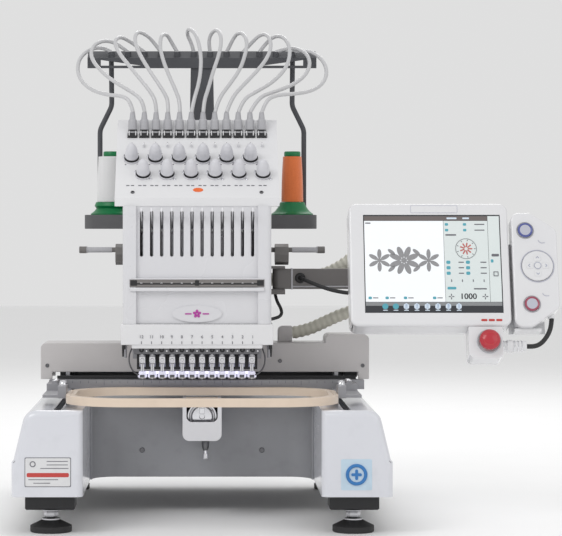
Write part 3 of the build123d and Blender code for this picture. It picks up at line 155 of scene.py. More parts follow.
class Groups:
    """The shader groups that the finishes share, each built once."""

    @staticmethod
    def named(name: str) -> bpy.types.NodeTree:
        """A shared group, built the first time that it is asked for.

        Args:
            name: Grain, Dust or Winding.

        Returns:
            The group.
        """
        builders = {"Grain": Groups.grain, "Dust": Groups.dust, "Winding": Groups.winding}
        return bpy.data.node_groups.get(name) or builders[name]()

    @staticmethod
    def start(name: str, inputs: dict[str, str], outputs: dict[str, str]) -> tuple:
        """Make a group with named sockets.

        Args:
            name: the group's name.
            inputs: socket names and their short types.
            outputs: the same for the outputs.

        Returns:
            The new tree, what is given to it, and the node that its results go to.
        """
        tree = bpy.data.node_groups.new(name, "ShaderNodeTree")
        for sockets, direction in ((inputs, "INPUT"), (outputs, "OUTPUT")):
            for label, kind in sockets.items():
                tree.interface.new_socket(label, in_out=direction, socket_type=f"NodeSocket{kind}")
        return tree, tree.nodes.new("NodeGroupInput").outputs, tree.nodes.new("NodeGroupOutput")

    @staticmethod
    def grain() -> bpy.types.NodeTree:
        """Slow patches of colour and a fine grain, for moulded, painted and brushed surfaces.

        Returns:
            The group.
        """
        tree, given, sink = Groups.start(
            "Grain", {"Base": "Color", "Tint": "Color", "Patch Scale": "Float", "Grain Scale": "Float",
                      "Stretch": "Vector"}, {"Color": "Color", "Mask": "Float", "Height": "Float"})
        place = add_node(tree, "TexCoord", {}).outputs["Object"]
        patch = add_node(tree, "TexNoise", {"Detail": 3, "Vector": place, "Scale": given["Patch Scale"]})
        mask = patch.outputs["Fac"]
        stretch = add_node(tree, "Mapping", {"Vector": place, "Scale": given["Stretch"]})
        fine = add_node(tree, "TexNoise", {"Detail": 4, "Vector": stretch.outputs["Vector"],
                                           "Scale": given["Grain Scale"]})
        blend = add_node(tree, "Mix", {"Factor": mask, 6: given["Base"], 7: given["Tint"]},
                         data_type="RGBA")
        wire(tree, sink, {"Color": blend.outputs[2], "Mask": mask, "Height": fine.outputs["Fac"]})
        return tree

    @staticmethod
    def dust() -> bpy.types.NodeTree:
        """A little grime that gathers low on the machine, in scuffed patches.

        Returns:
            The group.
        """
        tree, given, sink = Groups.start("Dust", {"Color": "Color", "Grime": "Color", "Amount": "Float"},
                                         {"Color": "Color", "Mask": "Float"})
        place = add_node(tree, "TexCoord", {}).outputs["Object"]
        height = add_node(tree, "SeparateXYZ", {"Vector": place}).outputs["Z"]
        low = add_node(tree, "MapRange", {"Value": height, "From Min": 0.0, "From Max": 0.25, "To Min": 1.0,
                                          "To Max": 0.15})
        scuff = add_node(tree, "TexNoise", {"Scale": 55, "Detail": 6, "Vector": place})
        ramp = add_node(tree, "MapRange", {"Value": scuff.outputs["Fac"], "From Min": 0.52,
                                           "From Max": 0.75})
        both = add_node(tree, "Math", {0: low.outputs["Result"], 1: ramp.outputs["Result"]},
                        operation="MULTIPLY")
        mask = add_node(tree, "Math", {0: both.outputs[0], 1: given["Amount"]},
                        operation="MULTIPLY").outputs[0]
        blend = add_node(tree, "Mix", {"Factor": mask, 6: given["Color"], 7: given["Grime"]},
                         data_type="RGBA")
        wire(tree, sink, {"Color": blend.outputs[2], "Mask": mask})
        return tree

    @staticmethod
    def winding() -> bpy.types.NodeTree:
        """Crossing turns of wound thread.

        Returns:
            The group.
        """
        tree, given, sink = Groups.start("Winding", {"Base": "Color", "Shade": "Color", "Turns": "Float"},
                                         {"Color": "Color", "Height": "Float"})
        place = add_node(tree, "TexCoord", {}).outputs["Object"]
        layers = []
        for lean in (0.175, -0.175):
            turn = add_node(tree, "Mapping", {"Vector": place, "Rotation": (0, lean, 0)})
            layers.append(add_node(tree, "TexWave", {"Vector": turn.outputs["Vector"], "Distortion": 1.2,
                                                     "Scale": given["Turns"]}, bands_direction="Z"))
        top = add_node(tree, "Math", {k: layer.outputs["Fac"] for k, layer in enumerate(layers)},
                       operation="MAXIMUM").outputs[0]
        blend = add_node(tree, "Mix", {"Factor": top, 6: given["Shade"], 7: given["Base"]},
                         data_type="RGBA")
        wire(tree, sink, {"Color": blend.outputs[2], "Height": top})
        return tree


GRIME_SHADE = 0.55
RELIEF_DEPTH = 0.0004
COAT_ROUGHNESS = 0.08


@dataclass(frozen=True)
class Finish:
    """A finish: its two close colours, its gloss and its grain."""

    name: str
    base: Place
    tint: Place
    rough: float = 0.4
    spread: float = 0.08
    metal: float = 0.0
    coat: float = 0.0
    patch: float = 9.0
    grain: float = 900.0
    bump: float = 0.04
    grime: float = 0.25
    surface: Surface = Surface.MOULDED
    glow: float = 0.0
    stretch: Place = (1.0, 1.0, 1.0)

    def group(self, tree: bpy.types.NodeTree, name: str, inputs: dict) -> bpy.types.Node:
        """Place a shared group in the finish's material.

        Args:
            tree: the material's tree.
            name: the group's name.
            inputs: what its inputs get.

        Returns:
            The group's node.
        """
        made = tree.nodes.new("ShaderNodeGroup")
        made.node_tree = Groups.named(name)
        wire(tree, made, inputs)
        return made

    def material(self) -> bpy.types.Material:
        """The finish as a material, made the first time that it is asked for.

        Returns:
            The material.
        """
        found = bpy.data.materials.get(self.name)
        if found:
            return found
        made = bpy.data.materials.new(self.name)
        made.use_nodes = True
        tree = made.node_tree
        shader = tree.nodes["Principled BSDF"]
        if self.surface is Surface.WOUND:
            body = self.group(tree, "Winding", {"Base": (*self.base, 1), "Shade": (*self.tint, 1),
                                                "Turns": self.grain})
            wire(tree, shader, {"Sheen Weight": 0.4, "Roughness": self.rough})
        else:
            body = self.group(tree, "Grain", {"Base": (*self.base, 1), "Tint": (*self.tint, 1),
                                              "Patch Scale": self.patch, "Grain Scale": self.grain,
                                              "Stretch": self.stretch})
            gloss = add_node(tree, "MapRange", {"Value": body.outputs["Mask"],
                                                "To Min": self.rough - self.spread,
                                                "To Max": self.rough + self.spread})
            wire(tree, shader, {"Roughness": gloss.outputs["Result"]})
        grime = (*(GRIME_SHADE * c for c in self.base), 1)
        colour = self.group(tree, "Dust", {"Color": body.outputs["Color"], "Grime": grime,
                                           "Amount": self.grime}).outputs["Color"]
        relief = add_node(tree, "Bump", {"Height": body.outputs["Height"], "Strength": self.bump,
                                         "Distance": RELIEF_DEPTH})
        wire(tree, shader, {"Base Color": colour, "Normal": relief.outputs["Normal"],
                            "Metallic": self.metal,
                            "Coat Weight": self.coat, "Coat Roughness": COAT_ROUGHNESS})
        # The lamp strip and the screen glow for real; on the feet's cups and the needle shields the glow is
        # painted light.
        if self.surface is Surface.GLOWING:
            wire(tree, shader, {"Emission Color": colour, "Emission Strength": self.glow})
        return made


COVER = Finish("Cover white", (0.76, 0.76, 0.77), (0.71, 0.71, 0.73), 0.24, 0.05, coat=0.5,
               bump=0.02, grime=0.12)
LEG = Finish("Leg white", (0.70, 0.71, 0.75), (0.65, 0.66, 0.71), 0.22, 0.05, coat=0.6,
             bump=0.02, grime=0.15)
CASE = Finish("Front white", (0.70, 0.70, 0.72), (0.65, 0.65, 0.68), 0.28, 0.05, coat=0.3,
              bump=0.02, grime=0.1)
BEAM = Finish("Beam grey", (0.58, 0.56, 0.555), (0.52, 0.50, 0.50), 0.42, 0.08, bump=0.12, grain=1400)
PANEL_GREY = Finish("Panel grey", (0.34, 0.345, 0.365), (0.29, 0.295, 0.315), 0.5, 0.08, bump=0.1,
                    grain=1300)
BOX_GREY = Finish("Box grey", (0.30, 0.30, 0.32), (0.26, 0.26, 0.28), 0.5, 0.08, bump=0.1, grain=1300)
BAR = Finish("Bar grey", (0.36, 0.36, 0.38), (0.30, 0.30, 0.32), 0.38, 0.08, metal=0.5, bump=0.06)
TREE = Finish("Tree grey", (0.085, 0.087, 0.095), (0.068, 0.07, 0.078), 0.85, 0.08, bump=0.1, grain=1300)
TRAY = Finish("Tray grey", (0.115, 0.115, 0.12), (0.09, 0.09, 0.095), 0.55, 0.08, bump=0.15)
BLACK = Finish("Black moulding", (0.012, 0.012, 0.014), (0.02, 0.02, 0.022), 0.45, 0.08, bump=0.1)
RUBBER = Finish("Black rubber", (0.016, 0.016, 0.017), (0.024, 0.024, 0.025), 0.62, 0.1, bump=0.2)
CHROME = Finish("Chrome", (0.80, 0.80, 0.82), (0.72, 0.72, 0.75), 0.12, 0.04, metal=1.0, bump=0.01)
STEEL = Finish("Ground steel", (0.62, 0.62, 0.64), (0.52, 0.52, 0.55), 0.28, 0.08, metal=1.0,
               surface=Surface.BRUSHED, grain=700, stretch=(1, 1, 14), bump=0.08)
LEVER = Finish("Polished lever", (0.88, 0.88, 0.90), (0.80, 0.80, 0.83), 0.32, 0.05, metal=0.55, bump=0.02)
BOLT = Finish("Dark steel", (0.20, 0.20, 0.21), (0.15, 0.15, 0.16), 0.35, 0.08, metal=1.0, bump=0.05)
CAST = Finish("Cast iron", (0.10, 0.10, 0.105), (0.07, 0.07, 0.075), 0.65, 0.1, metal=0.6,
              bump=0.4, grain=500)
HOOP = Finish("Hoop beige", (0.76, 0.635, 0.52), (0.67, 0.545, 0.43), 0.42, 0.08, coat=0.2, patch=22,
              bump=0.12, stretch=(1, 6, 6))
TUBE = Finish("Thread tube", (0.555, 0.555, 0.566), (0.496, 0.496, 0.507), 0.3, 0.06, coat=0.3,
              bump=0.03)
HANDLE = Finish("Handle grey", (0.17, 0.16, 0.155), (0.14, 0.135, 0.13), 0.45, 0.08, bump=0.1)
ARM = Finish("Arm grey", (0.173, 0.162, 0.158), (0.135, 0.128, 0.124), 0.42, 0.08, bump=0.1)
CONDUIT = Finish("Conduit", (0.65, 0.637, 0.559), (0.572, 0.559, 0.481), 0.5, 0.08, bump=0.06)
KNOB = Finish("Knob grey", (0.66, 0.66, 0.69), (0.58, 0.58, 0.62), 0.3, 0.06, coat=0.25, bump=0.03)
CHANNEL = Finish("Channel grey", (0.24, 0.225, 0.22), (0.19, 0.18, 0.175), 0.4, 0.06, metal=0.3)
STUB = Finish("Connector grey", (0.44, 0.44, 0.46), (0.39, 0.39, 0.41), 0.4, 0.06, bump=0.05)
# The feet's cups are not a lamp: their glow is painted light.
CUP_PAINTED_GLOW = Finish("Foot white painted glow", (0.80, 0.79, 0.92), (0.74, 0.73, 0.88), 0.3, 0.05, coat=0.3, bump=0.02,
             surface=Surface.GLOWING, glow=0.45, grime=0)
GREEN = Finish("Cone green", (0.0, 0.19, 0.055), (0.0, 0.15, 0.045), 0.4, 0.06, bump=0.04)
WHITE_THREAD = Finish("White thread", (0.80, 0.80, 0.80), (0.62, 0.62, 0.63), 0.55,
                      surface=Surface.WOUND, grain=420, bump=0.55)
ORANGE_THREAD = Finish("Orange thread", (0.92, 0.22, 0.045), (0.66, 0.12, 0.025), 0.5,
                       surface=Surface.WOUND, grain=420, bump=0.55)
ORANGE = Finish("Orange sticker", (0.85, 0.16, 0.03), (0.75, 0.12, 0.02), 0.4, grime=0)
STOP_RED = Finish("Stop red", (0.50, 0.012, 0.03), (0.43, 0.01, 0.025), 0.28, 0.05, coat=0.5, bump=0.02)
BAND_RED = Finish("Label red", (0.55, 0.06, 0.05), (0.48, 0.05, 0.045), 0.5)
PAPER = Finish("Label white", (0.72, 0.72, 0.73), (0.68, 0.68, 0.69), 0.5)
INK = Finish("Print grey", (0.16, 0.16, 0.18), (0.13, 0.13, 0.15), 0.5)
SKY = Finish("Label blue", (0.035, 0.20, 0.50), (0.03, 0.17, 0.45), 0.5)
PALE_SKY = Finish("Label pale", (0.55, 0.68, 0.78), (0.50, 0.63, 0.74), 0.5)
PLUM = Finish("Emblem plum", (0.48, 0.06, 0.36), (0.42, 0.05, 0.32), 0.35)
# The clear shields are not a lamp: their glow is painted light.
SHIELD_PAINTED_GLOW = Finish("Shield painted glow", (0.42, 0.42, 0.52), (0.30, 0.31, 0.42), 0.2, 0.05, coat=0.5, patch=60,
                surface=Surface.GLOWING, glow=0.15, grime=0)
LAMP = Finish("Lamp", (0.78, 0.76, 1.0), (0.70, 0.68, 1.0), 0.3, surface=Surface.GLOWING,
              glow=1.3, grime=0)
KEY_BLUE = Finish("Key blue", (0.09, 0.11, 0.34), (0.07, 0.09, 0.29), 0.35, coat=0.3)
KEY_ROSE = Finish("Key rose", (0.36, 0.07, 0.11), (0.30, 0.05, 0.09), 0.35, coat=0.3)
KEY_FACE = Finish("Key face", (0.52, 0.53, 0.60), (0.47, 0.48, 0.56), 0.35, coat=0.3)
KEY_LINE = Finish("Key line", (0.30, 0.33, 0.45), (0.27, 0.30, 0.42), 0.5)
FIELD = Finish("Screen field", (0.80, 0.82, 0.84), (0.76, 0.79, 0.82), 0.25, surface=Surface.GLOWING,
               glow=0.25, grime=0, bump=0)
SCREEN_DARK = Finish("Screen bar", (0.018, 0.02, 0.026), (0.03, 0.033, 0.04), 0.2, coat=0.4, grime=0,
                     bump=0)
SCREEN_PALE = Finish("Screen pale", (0.58, 0.66, 0.74), (0.54, 0.62, 0.72), 0.25,
                     surface=Surface.GLOWING, glow=0.2, grime=0, bump=0)
SCREEN_BLUE = Finish("Screen teal", (0.10, 0.36, 0.42), (0.07, 0.30, 0.38), 0.25, surface=Surface.GLOWING,
                     glow=0.15, grime=0, bump=0)
SCREEN_SIDE = Finish("Screen side", (0.66, 0.70, 0.69), (0.60, 0.66, 0.66), 0.25, surface=Surface.GLOWING,
                     glow=0.15, grime=0, bump=0)
SCREEN_HEAD = Finish("Screen head", (0.17, 0.145, 0.14), (0.13, 0.11, 0.105), 0.3, grime=0, bump=0)
SCREEN_GREY = Finish("Screen band", (0.22, 0.23, 0.24), (0.28, 0.29, 0.30), 0.35, grime=0, bump=0)
SCREEN_STITCH = Finish("Screen stitch", (0.24, 0.24, 0.25), (0.33, 0.33, 0.34), 0.45, grime=0, patch=400)
SCREEN_ROSE = Finish("Screen rose", (0.55, 0.16, 0.14), (0.5, 0.13, 0.12), 0.3, grime=0, bump=0)


# ---------------------------------------------------------------- layout and bench
@dataclass(frozen=True)
class Layout:
    """Where the sewing axis stands in the frame."""

    axis_x: float
    needle_y: float

    def matrix(self) -> Matrix:
        """Layout millimetres to frame metres."""
        return Matrix.Translation((self.axis_x, self.needle_y, 0)) @ Matrix.Scale(MM, 4)

    def point(self, place: Place) -> Vector:
        """One layout place in the frame."""
        return self.matrix() @ Vector(place)


def layout_of_frame() -> Layout:
    """The hoop is centred on the sewing axis, and the active foot's ring round the needle.

    Returns:
        The layout.
    """
    low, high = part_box("hoop_outer_ring")
    foot_low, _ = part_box("presser_foot_6")
    ring_radius = 6.5 * MM
    return Layout((low.x + high.x) / 2, foot_low.y + ring_radius)


class Bench:
    """Finishes shapes as pieces that ride on the machine's bodies."""

    def __init__(self, layout: Layout, frame: dict) -> None:
        """Keep the layout, the frame's nodes and the slot of each node.

        Args:
            layout: where the sewing axis stands.
        """
        self.layout = layout
        self.nodes = frame["nodes"]
        self.slots = {s["node"]: s["material_slot"] for s in frame["record"]["subparts"]}
        self.body_of = {n: b for b, ns in frame["record"]["behaviour"]["bodies"].items() for n in ns}
        self.count = 0

    def finish(self, name: str, bm: bmesh.types.BMesh, finish: Finish, bevel: float,
               smooth: float) -> bpy.types.Object:
        """Turn a bmesh in metres into an object with its material, edges and shading.

        Args:
            name: the piece's name.
            bm: the shape, which is freed.
            finish: what it is made of.
            bevel: the width of its rounded edges, in millimetres.
            smooth: edges sharper than this many degrees stay hard.

        Returns:
            The new object, linked to the scene.
        """
        mesh = bpy.data.meshes.new(name)
        for face in bm.faces:
            face.smooth = True
        for edge in bm.edges:
            edge.smooth = edge.calc_face_angle(0) < math.radians(smooth)
        bm.to_mesh(mesh)
        bm.free()
        made = bpy.data.objects.new(name, mesh)
        bpy.context.scene.collection.objects.link(made)
        made.data.materials.append(finish.material())
        if bevel:
            rounded = made.modifiers.new("Rounded edges", "BEVEL")
            rounded.width = bevel * MM
            rounded.segments = 2
            rounded.limit_method = "ANGLE"
            rounded.angle_limit = math.radians(38)
        self.count += 1
        return made

    def piece(self, name: str, bm: bmesh.types.BMesh, finish: Finish, body: str | None, bevel: float = 0.0,
              smooth: float = 40.0, replaces: tuple[str, ...] = (),
              slot: str | None = None) -> bpy.types.Object:
        """A new piece from a shape in layout millimetres.

        Args:
            name: the piece's name.
            bm: its shape.
            finish: what it is made of.
            body: the body it rides on, or None for a piece that rides on none.
            bevel: the width of its rounded edges, in millimetres.
            smooth: edges sharper than this many degrees stay hard.
            replaces: the CAD nodes that it stands for.
            slot: the record's slot; by default that of the first node it stands for.

        Returns:
            The piece.
        """
        bmesh.ops.transform(bm, matrix=self.layout.matrix(), verts=bm.verts)
        bmesh.ops.remove_doubles(bm, verts=bm.verts, dist=1e-6)
        bmesh.ops.recalc_face_normals(bm, faces=bm.faces)
        made = self.finish(name, bm, finish, bevel, smooth)
        if body:
            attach(made, body)
        if replaces:
            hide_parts(*replaces)
        slot = slot or (self.slots[replaces[0]] if replaces else None)
        LOG.info("piece %s on %s", name, body)
        return made

    @contextmanager
    def shape(self, name: str, finish: Finish, body: str = "machine",
              **looks: object) -> Iterator[bmesh.types.BMesh]:
        """Lend an empty shape, and make a piece of it once it is filled.

        Args:
            name: the piece's name.
            finish: what it is made of.
            body: the body that it rides on.
            looks: anything else that piece takes.

        Yields:
            The shape, in layout millimetres.
        """
        bm = fresh()
        yield bm
        self.piece(name, bm, finish, body, **looks)

    def carry(self, node: str, finish: Finish, bevel: float = 0.0,
              smooth: float = 32.0) -> bpy.types.Object:
        """A CAD node's own shape with its facets merged, its edges rounded and its finish on.

        Args:
            node: the CAD node.
            finish: what it is made of.
            bevel: the width of its rounded edges, in millimetres.
            smooth: edges sharper than this many degrees stay hard.

        Returns:
            The piece that stands for the node.
        """
        bm = bmesh.new()
        bm.from_mesh(self.nodes[node].data)
        bmesh.ops.remove_doubles(bm, verts=bm.verts, dist=1e-5)
        bmesh.ops.dissolve_limit(bm, angle_limit=math.radians(0.6), verts=bm.verts, edges=bm.edges)
        made = self.finish(f"{node}_skin", bm, finish, bevel, smooth)
        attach(made, self.body_of[node])
        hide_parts(node)
        LOG.info("carried %s", node)
        return made

    def dress(self, node: str, finish: Finish) -> None:
        """Give a CAD node, which keeps its own mesh, its finish.

        Args:
            node: the CAD node.
            finish: what it is made of.
        """
        held = self.nodes[node]
        held.data.materials.clear()
        held.data.materials.append(finish.material())
        LOG.info("dressed %s", node)


# ---------------------------------------------------------------- shapes in millimetres
def fresh() -> bmesh.types.BMesh:
    """An empty shape."""
    return bmesh.new()


def cuboid(bm: bmesh.types.BMesh, x: Span, y: Span, z: Span, turn: Matrix | None = None) -> None:
    """Add a block between three (low, high) pairs, turned afterwards if asked.

    Args:
        bm: the shape that it joins.
        x: its span across.
        y: its span in depth.
        z: its span in height.
        turn: a matrix that moves the block.
    """
    middle = Vector((sum(x) / 2, sum(y) / 2, sum(z) / 2))
    size = Matrix.Diagonal((x[1] - x[0], y[1] - y[0], z[1] - z[0], 1))
    move = (turn or Matrix.Identity(4)) @ Matrix.Translation(middle) @ size
    bmesh.ops.create_cube(bm, size=1, matrix=move)


def pointing(place: Place, way: Place) -> Matrix:
    """A matrix that stands a shape's Z along a direction at a place."""
    return Matrix.Translation(place) @ Vector(way).to_track_quat("Z", "Y").to_matrix().to_4x4()


def bar(bm: bmesh.types.BMesh, start: Place, end: Place, radius: float, sides: int = 24,
        far: float | None = None) -> None:
    """Add a round bar between two places, tapered if a far radius is given.

    Args:
        bm: the shape that it joins.
        start: the middle of its first end.
        end: the middle of its other end.
        radius: its radius, at its first end if it is tapered.
        sides: how many flats it has round it.
        far: its radius at the other end.
    """
    line = Vector(end) - Vector(start)
    place = pointing(start, line) @ Matrix.Translation((0, 0, line.length / 2))
    bmesh.ops.create_cone(bm, cap_ends=True, segments=sides, radius1=radius,
                          radius2=radius if far is None else far, depth=line.length, matrix=place)


def lathe(bm: bmesh.types.BMesh, profile: list[Span], turn: Matrix, steps: int = 40) -> None:
    """Add a turned shape from (radius, height) points, stood by a matrix.

    Args:
        bm: the shape that it joins.
        profile: the points, from one end of the turned line to the other.
        turn: what stands the shape's axis.
        steps: how many flats it has round it.
    """
    verts = [bm.verts.new(turn @ Vector((r, 0, h))) for r, h in profile]
    edges = [bm.edges.new(pair) for pair in zip(verts, verts[1:])]
    axis = turn.to_3x3() @ Vector((0, 0, 1))
    bmesh.ops.spin(bm, geom=verts + edges, cent=turn.translation, axis=axis, dvec=(0, 0, 0),
                   angle=math.tau, steps=steps, use_merge=True, use_duplicate=False)


def washer(bm: bmesh.types.BMesh, radii: Span, heights: Span, turn: Matrix, steps: int = 32) -> None:
    """Add a flat ring of square section.

    Args:
        bm: the shape that it joins.
        radii: its inner and outer radius.
        heights: where it begins and ends along its axis.
        turn: what stands its axis.
        steps: how many flats it has round it.
    """
    (inner, outer), (low, high) = radii, heights
    lathe(bm, [(inner, low), (outer, low), (outer, high), (inner, high), (inner, low)], turn, steps)


def plate(bm: bmesh.types.BMesh, outline: list[Span], thick: float, turn: Matrix) -> None:
    """Add a flat plate from an outline, its face up in the matrix's Z.

    Args:
        bm: the shape that it joins.
        outline: its points, in order.
        thick: its thickness.
        turn: what lays it down.
    """
    face = bm.faces.new([bm.verts.new(turn @ Vector((x, y, 0))) for x, y in outline])
    lifted = bmesh.ops.extrude_face_region(bm, geom=[face])
    up = turn.to_3x3() @ Vector((0, 0, thick))
    bmesh.ops.translate(bm, vec=up, verts=[v for v in lifted["geom"] if isinstance(v, bmesh.types.BMVert)])


def rounded(width: float, height: float, radius: float, steps: int = 6) -> list[Span]:
    """The outline of a rectangle with round corners, about its middle.

    Args:
        width: how wide it is.
        height: how high it is.
        radius: the corners' radius.
        steps: the flats in each corner.

    Returns:
        The outline's points.
    """
    outline = []
    for k, (sx, sy) in enumerate(((1, 1), (-1, 1), (-1, -1), (1, -1))):
        cx, cy = sx * (width / 2 - radius), sy * (height / 2 - radius)
        for step in range(steps + 1):
            angle = (k + step / steps) * math.pi / 2
            outline.append((cx + radius * math.cos(angle), cy + radius * math.sin(angle)))
    return outline


def oval(width: float, height: float, steps: int = 40) -> list[Span]:
    """The outline of an ellipse about its middle."""
    turns = [math.tau * k / steps for k in range(steps)]
    return [(width / 2 * math.cos(a), height / 2 * math.sin(a)) for a in turns]


def hoop(bm: bmesh.types.BMesh, large: float, small: float, turn: Matrix, part: float = math.tau,
         steps: int = 40) -> None:
    """Add a ring, or part of one, of round wire in the matrix's XY plane.

    Args:
        bm: the shape that it joins.
        large: the ring's own radius.
        small: the wire's radius.
        turn: what lays it down.
        part: how far round it goes, in radians.
        steps: the flats along it.
    """
    made = bmesh.ops.create_circle(bm, segments=12, radius=small,
                                   matrix=turn @ Matrix.Translation((large, 0,
                                                                     0)) @ Matrix.Rotation(math.pi / 2, 4,
                                                                                           "X"))
    edges = list({e for v in made["verts"] for e in v.link_edges})
    whole = abs(part - math.tau) < 1e-6
    if not whole:
        bm.faces.new(made["verts"])
    done = bmesh.ops.spin(bm, geom=made["verts"] + edges, cent=turn.translation,
                          axis=turn.to_3x3() @ Vector((0, 0, 1)), dvec=(0, 0, 0), angle=part, steps=steps,
                          use_merge=whole, use_duplicate=False)
    if not whole:
        last = [v for v in done["geom_last"] if isinstance(v, bmesh.types.BMVert)]
        bmesh.ops.contextual_create(bm, geom=last)


def lettering(bm: bmesh.types.BMesh, text: str, size: float, turn: Matrix) -> None:
    """Add flat figures or signs, centred on the matrix's place.

    Args:
        bm: the shape that they join.
        text: the figures.
        size: their height.
        turn: what stands them up.
    """
    curve = bpy.data.curves.new("figures", "FONT")
    curve.body = text
    curve.size = size
    curve.extrude = 0.12
    curve.align_x = "CENTER"
    curve.align_y = "CENTER"
    curve.resolution_u = 3
    holder = bpy.data.objects.new("figures", curve)
    mesh = bpy.data.meshes.new_from_object(holder)
    mesh.transform(turn)
    bm.from_mesh(mesh)
    bpy.data.objects.remove(holder)
    bpy.data.meshes.remove(mesh)


def smooth_line(route: list[Place], fineness: int = 10) -> list[Vector]:
    """The line of a route: a NURBS curve with the route's points as its control points.

    Args:
        route: the control points.
        fineness: the points for each stretch of the route.

    Returns:
        The points along the curve.
    """
    curve = bpy.data.curves.new("route", "CURVE")
    curve.dimensions = "3D"
    spline = curve.splines.new("NURBS")
    spline.points.add(len(route) - 1)
    for point, place in zip(spline.points, route):
        point.co = (*place, 1)
    spline.order_u = 3
    spline.use_endpoint_u = True
    spline.resolution_u = fineness
    holder = bpy.data.objects.new("route", curve)
    mesh = bpy.data.meshes.new_from_object(holder)
    line = [v.co.copy() for v in mesh.vertices]
    bpy.data.objects.remove(holder)
    bpy.data.meshes.remove(mesh)
    return line


def evenly(line: list[Vector], step: float) -> list[Vector]:
    """Points along a line at even steps, both ends kept.

    Args:
        line: the points of the line.
        step: about how far apart the new points are.

    Returns:
        The new points.
    """
    total = sum((b - a).length for a, b in zip(line, line[1:]))
    count = max(2, round(total / step))
    wanted, points, run, k = total / count, [line[0]], 0.0, 0
    for a, b in zip(line, line[1:]):
        length = (b - a).length
        while k + 1 < count and run + length >= wanted * (k + 1):
            points.append(a.lerp(b, (wanted * (k + 1) - run) / length))
            k += 1
        run += length
    return points + [line[-1]]


def hose(bm: bmesh.types.BMesh, line: list[Vector], radii: list[float], sides: int = 16) -> None:
    """Add a closed tube whose rings follow a line, each with its own radius.

    Args:
        bm: the shape that it joins.
        line: the middles of its rings.
        radii: the radius of each ring.
        sides: how many flats it has round it.
    """
    turn = pointing(line[0], line[1] - line[0])
    ring = bmesh.ops.create_circle(bm, cap_ends=True, segments=sides, radius=radii[0], matrix=turn)["verts"]
    edges = [e for v in ring for e in v.link_edges]
    edges = list(dict.fromkeys(edges))
    aim = (line[1] - line[0]).normalized()
    for k in range(1, len(line)):
        ahead = line[min(k + 1, len(line) - 1)] - line[k - 1]
        grown = bmesh.ops.extrude_edge_only(bm, edges=edges)["geom"]
        ring = [g for g in grown if isinstance(g, bmesh.types.BMVert)]
        edges = [g for g in grown if isinstance(g, bmesh.types.BMEdge) and all(v in ring for v in g.verts)]
        swing = aim.rotation_difference(ahead.normalized()).to_matrix().to_4x4()
        aim = ahead.normalized()
        size = Matrix.Scale(radii[k] / radii[k - 1], 4)
        move = Matrix.Translation(line[k]) @ swing @ size @ Matrix.Translation(-line[k - 1])
        bmesh.ops.transform(bm, matrix=move, verts=ring)
    bmesh.ops.contextual_create(bm, geom=edges)


# ---------------------------------------------------------------- camera and studio
@dataclass
class Studio:
    """Camera, lights and floor."""

    camera_place: Place = (-3.0, -3500.0, 442.0)
    lens: float = 148.7
    shift: Span = (0.144, -0.0765)
    daylight: float = 0.74
    aim_height: float = 0.38

    def build(self, layout: Layout) -> None:
        """Stand the camera in front of the machine, and light it softly.

        Args:
            layout: where the sewing axis stands.
        """
        scene = bpy.context.scene
        data = bpy.data.cameras.new("Camera")
        data.lens = self.lens
        data.sensor_width = 36
        data.shift_x, data.shift_y = self.shift
        data.clip_end = 50
        camera = bpy.data.objects.new("Camera", data)
        camera.location = layout.point(self.camera_place)
        camera.rotation_euler = (math.pi / 2, 0, 0)
        scene.collection.objects.link(camera)
        scene.camera = camera
        world = bpy.data.worlds.new("Studio")
        world.use_nodes = True
        wire(world.node_tree, world.node_tree.nodes["Background"],
             {"Color": (1, 1, 1, 1), "Strength": self.daylight})
        scene.world = world
        scene.view_settings.view_transform = "Standard"
        self.lamp("Key light", (-1500, -1900, 2200), 1.4, 22)
        self.lamp("Fill light", (1900, -1800, 1500), 1.8, 6)
        self.lamp("Rim light", (200, 1900, 2300), 1.8, 24)
        self.floor()

    def lamp(self, name: str, place: Place, size: float, power: float) -> None:
        """One soft square light, aimed at the machine's middle.

        Args:
            name: the light's name.
            place: where it hangs, in millimetres.
            size: the length of its side, in metres.
            power: its power in watts.
        """
        data = bpy.data.lights.new(name, "AREA")
        data.size = size
        data.energy = power
        lamp = bpy.data.objects.new(name, data)
        lamp.location = Vector(place) * MM
        aim = Vector((0, 0, self.aim_height)) - lamp.location
        lamp.rotation_euler = aim.to_track_quat("-Z", "Y").to_euler()
        bpy.context.scene.collection.objects.link(lamp)

    def floor(self) -> None:
        """A wide pale floor."""
        bm = fresh()
        bmesh.ops.create_grid(bm, x_segments=1, y_segments=1, size=9)
        mesh = bpy.data.meshes.new("floor")
        bm.to_mesh(mesh)
        bm.free()
        ground = bpy.data.objects.new("floor", mesh)
        ground.data.materials.append(Finish("Floor", (0.93, 0.93, 0.93), (0.91, 0.91, 0.91), 0.8, 0.05,
                                            grime=0, bump=0).material())
        bpy.context.scene.collection.objects.link(ground)


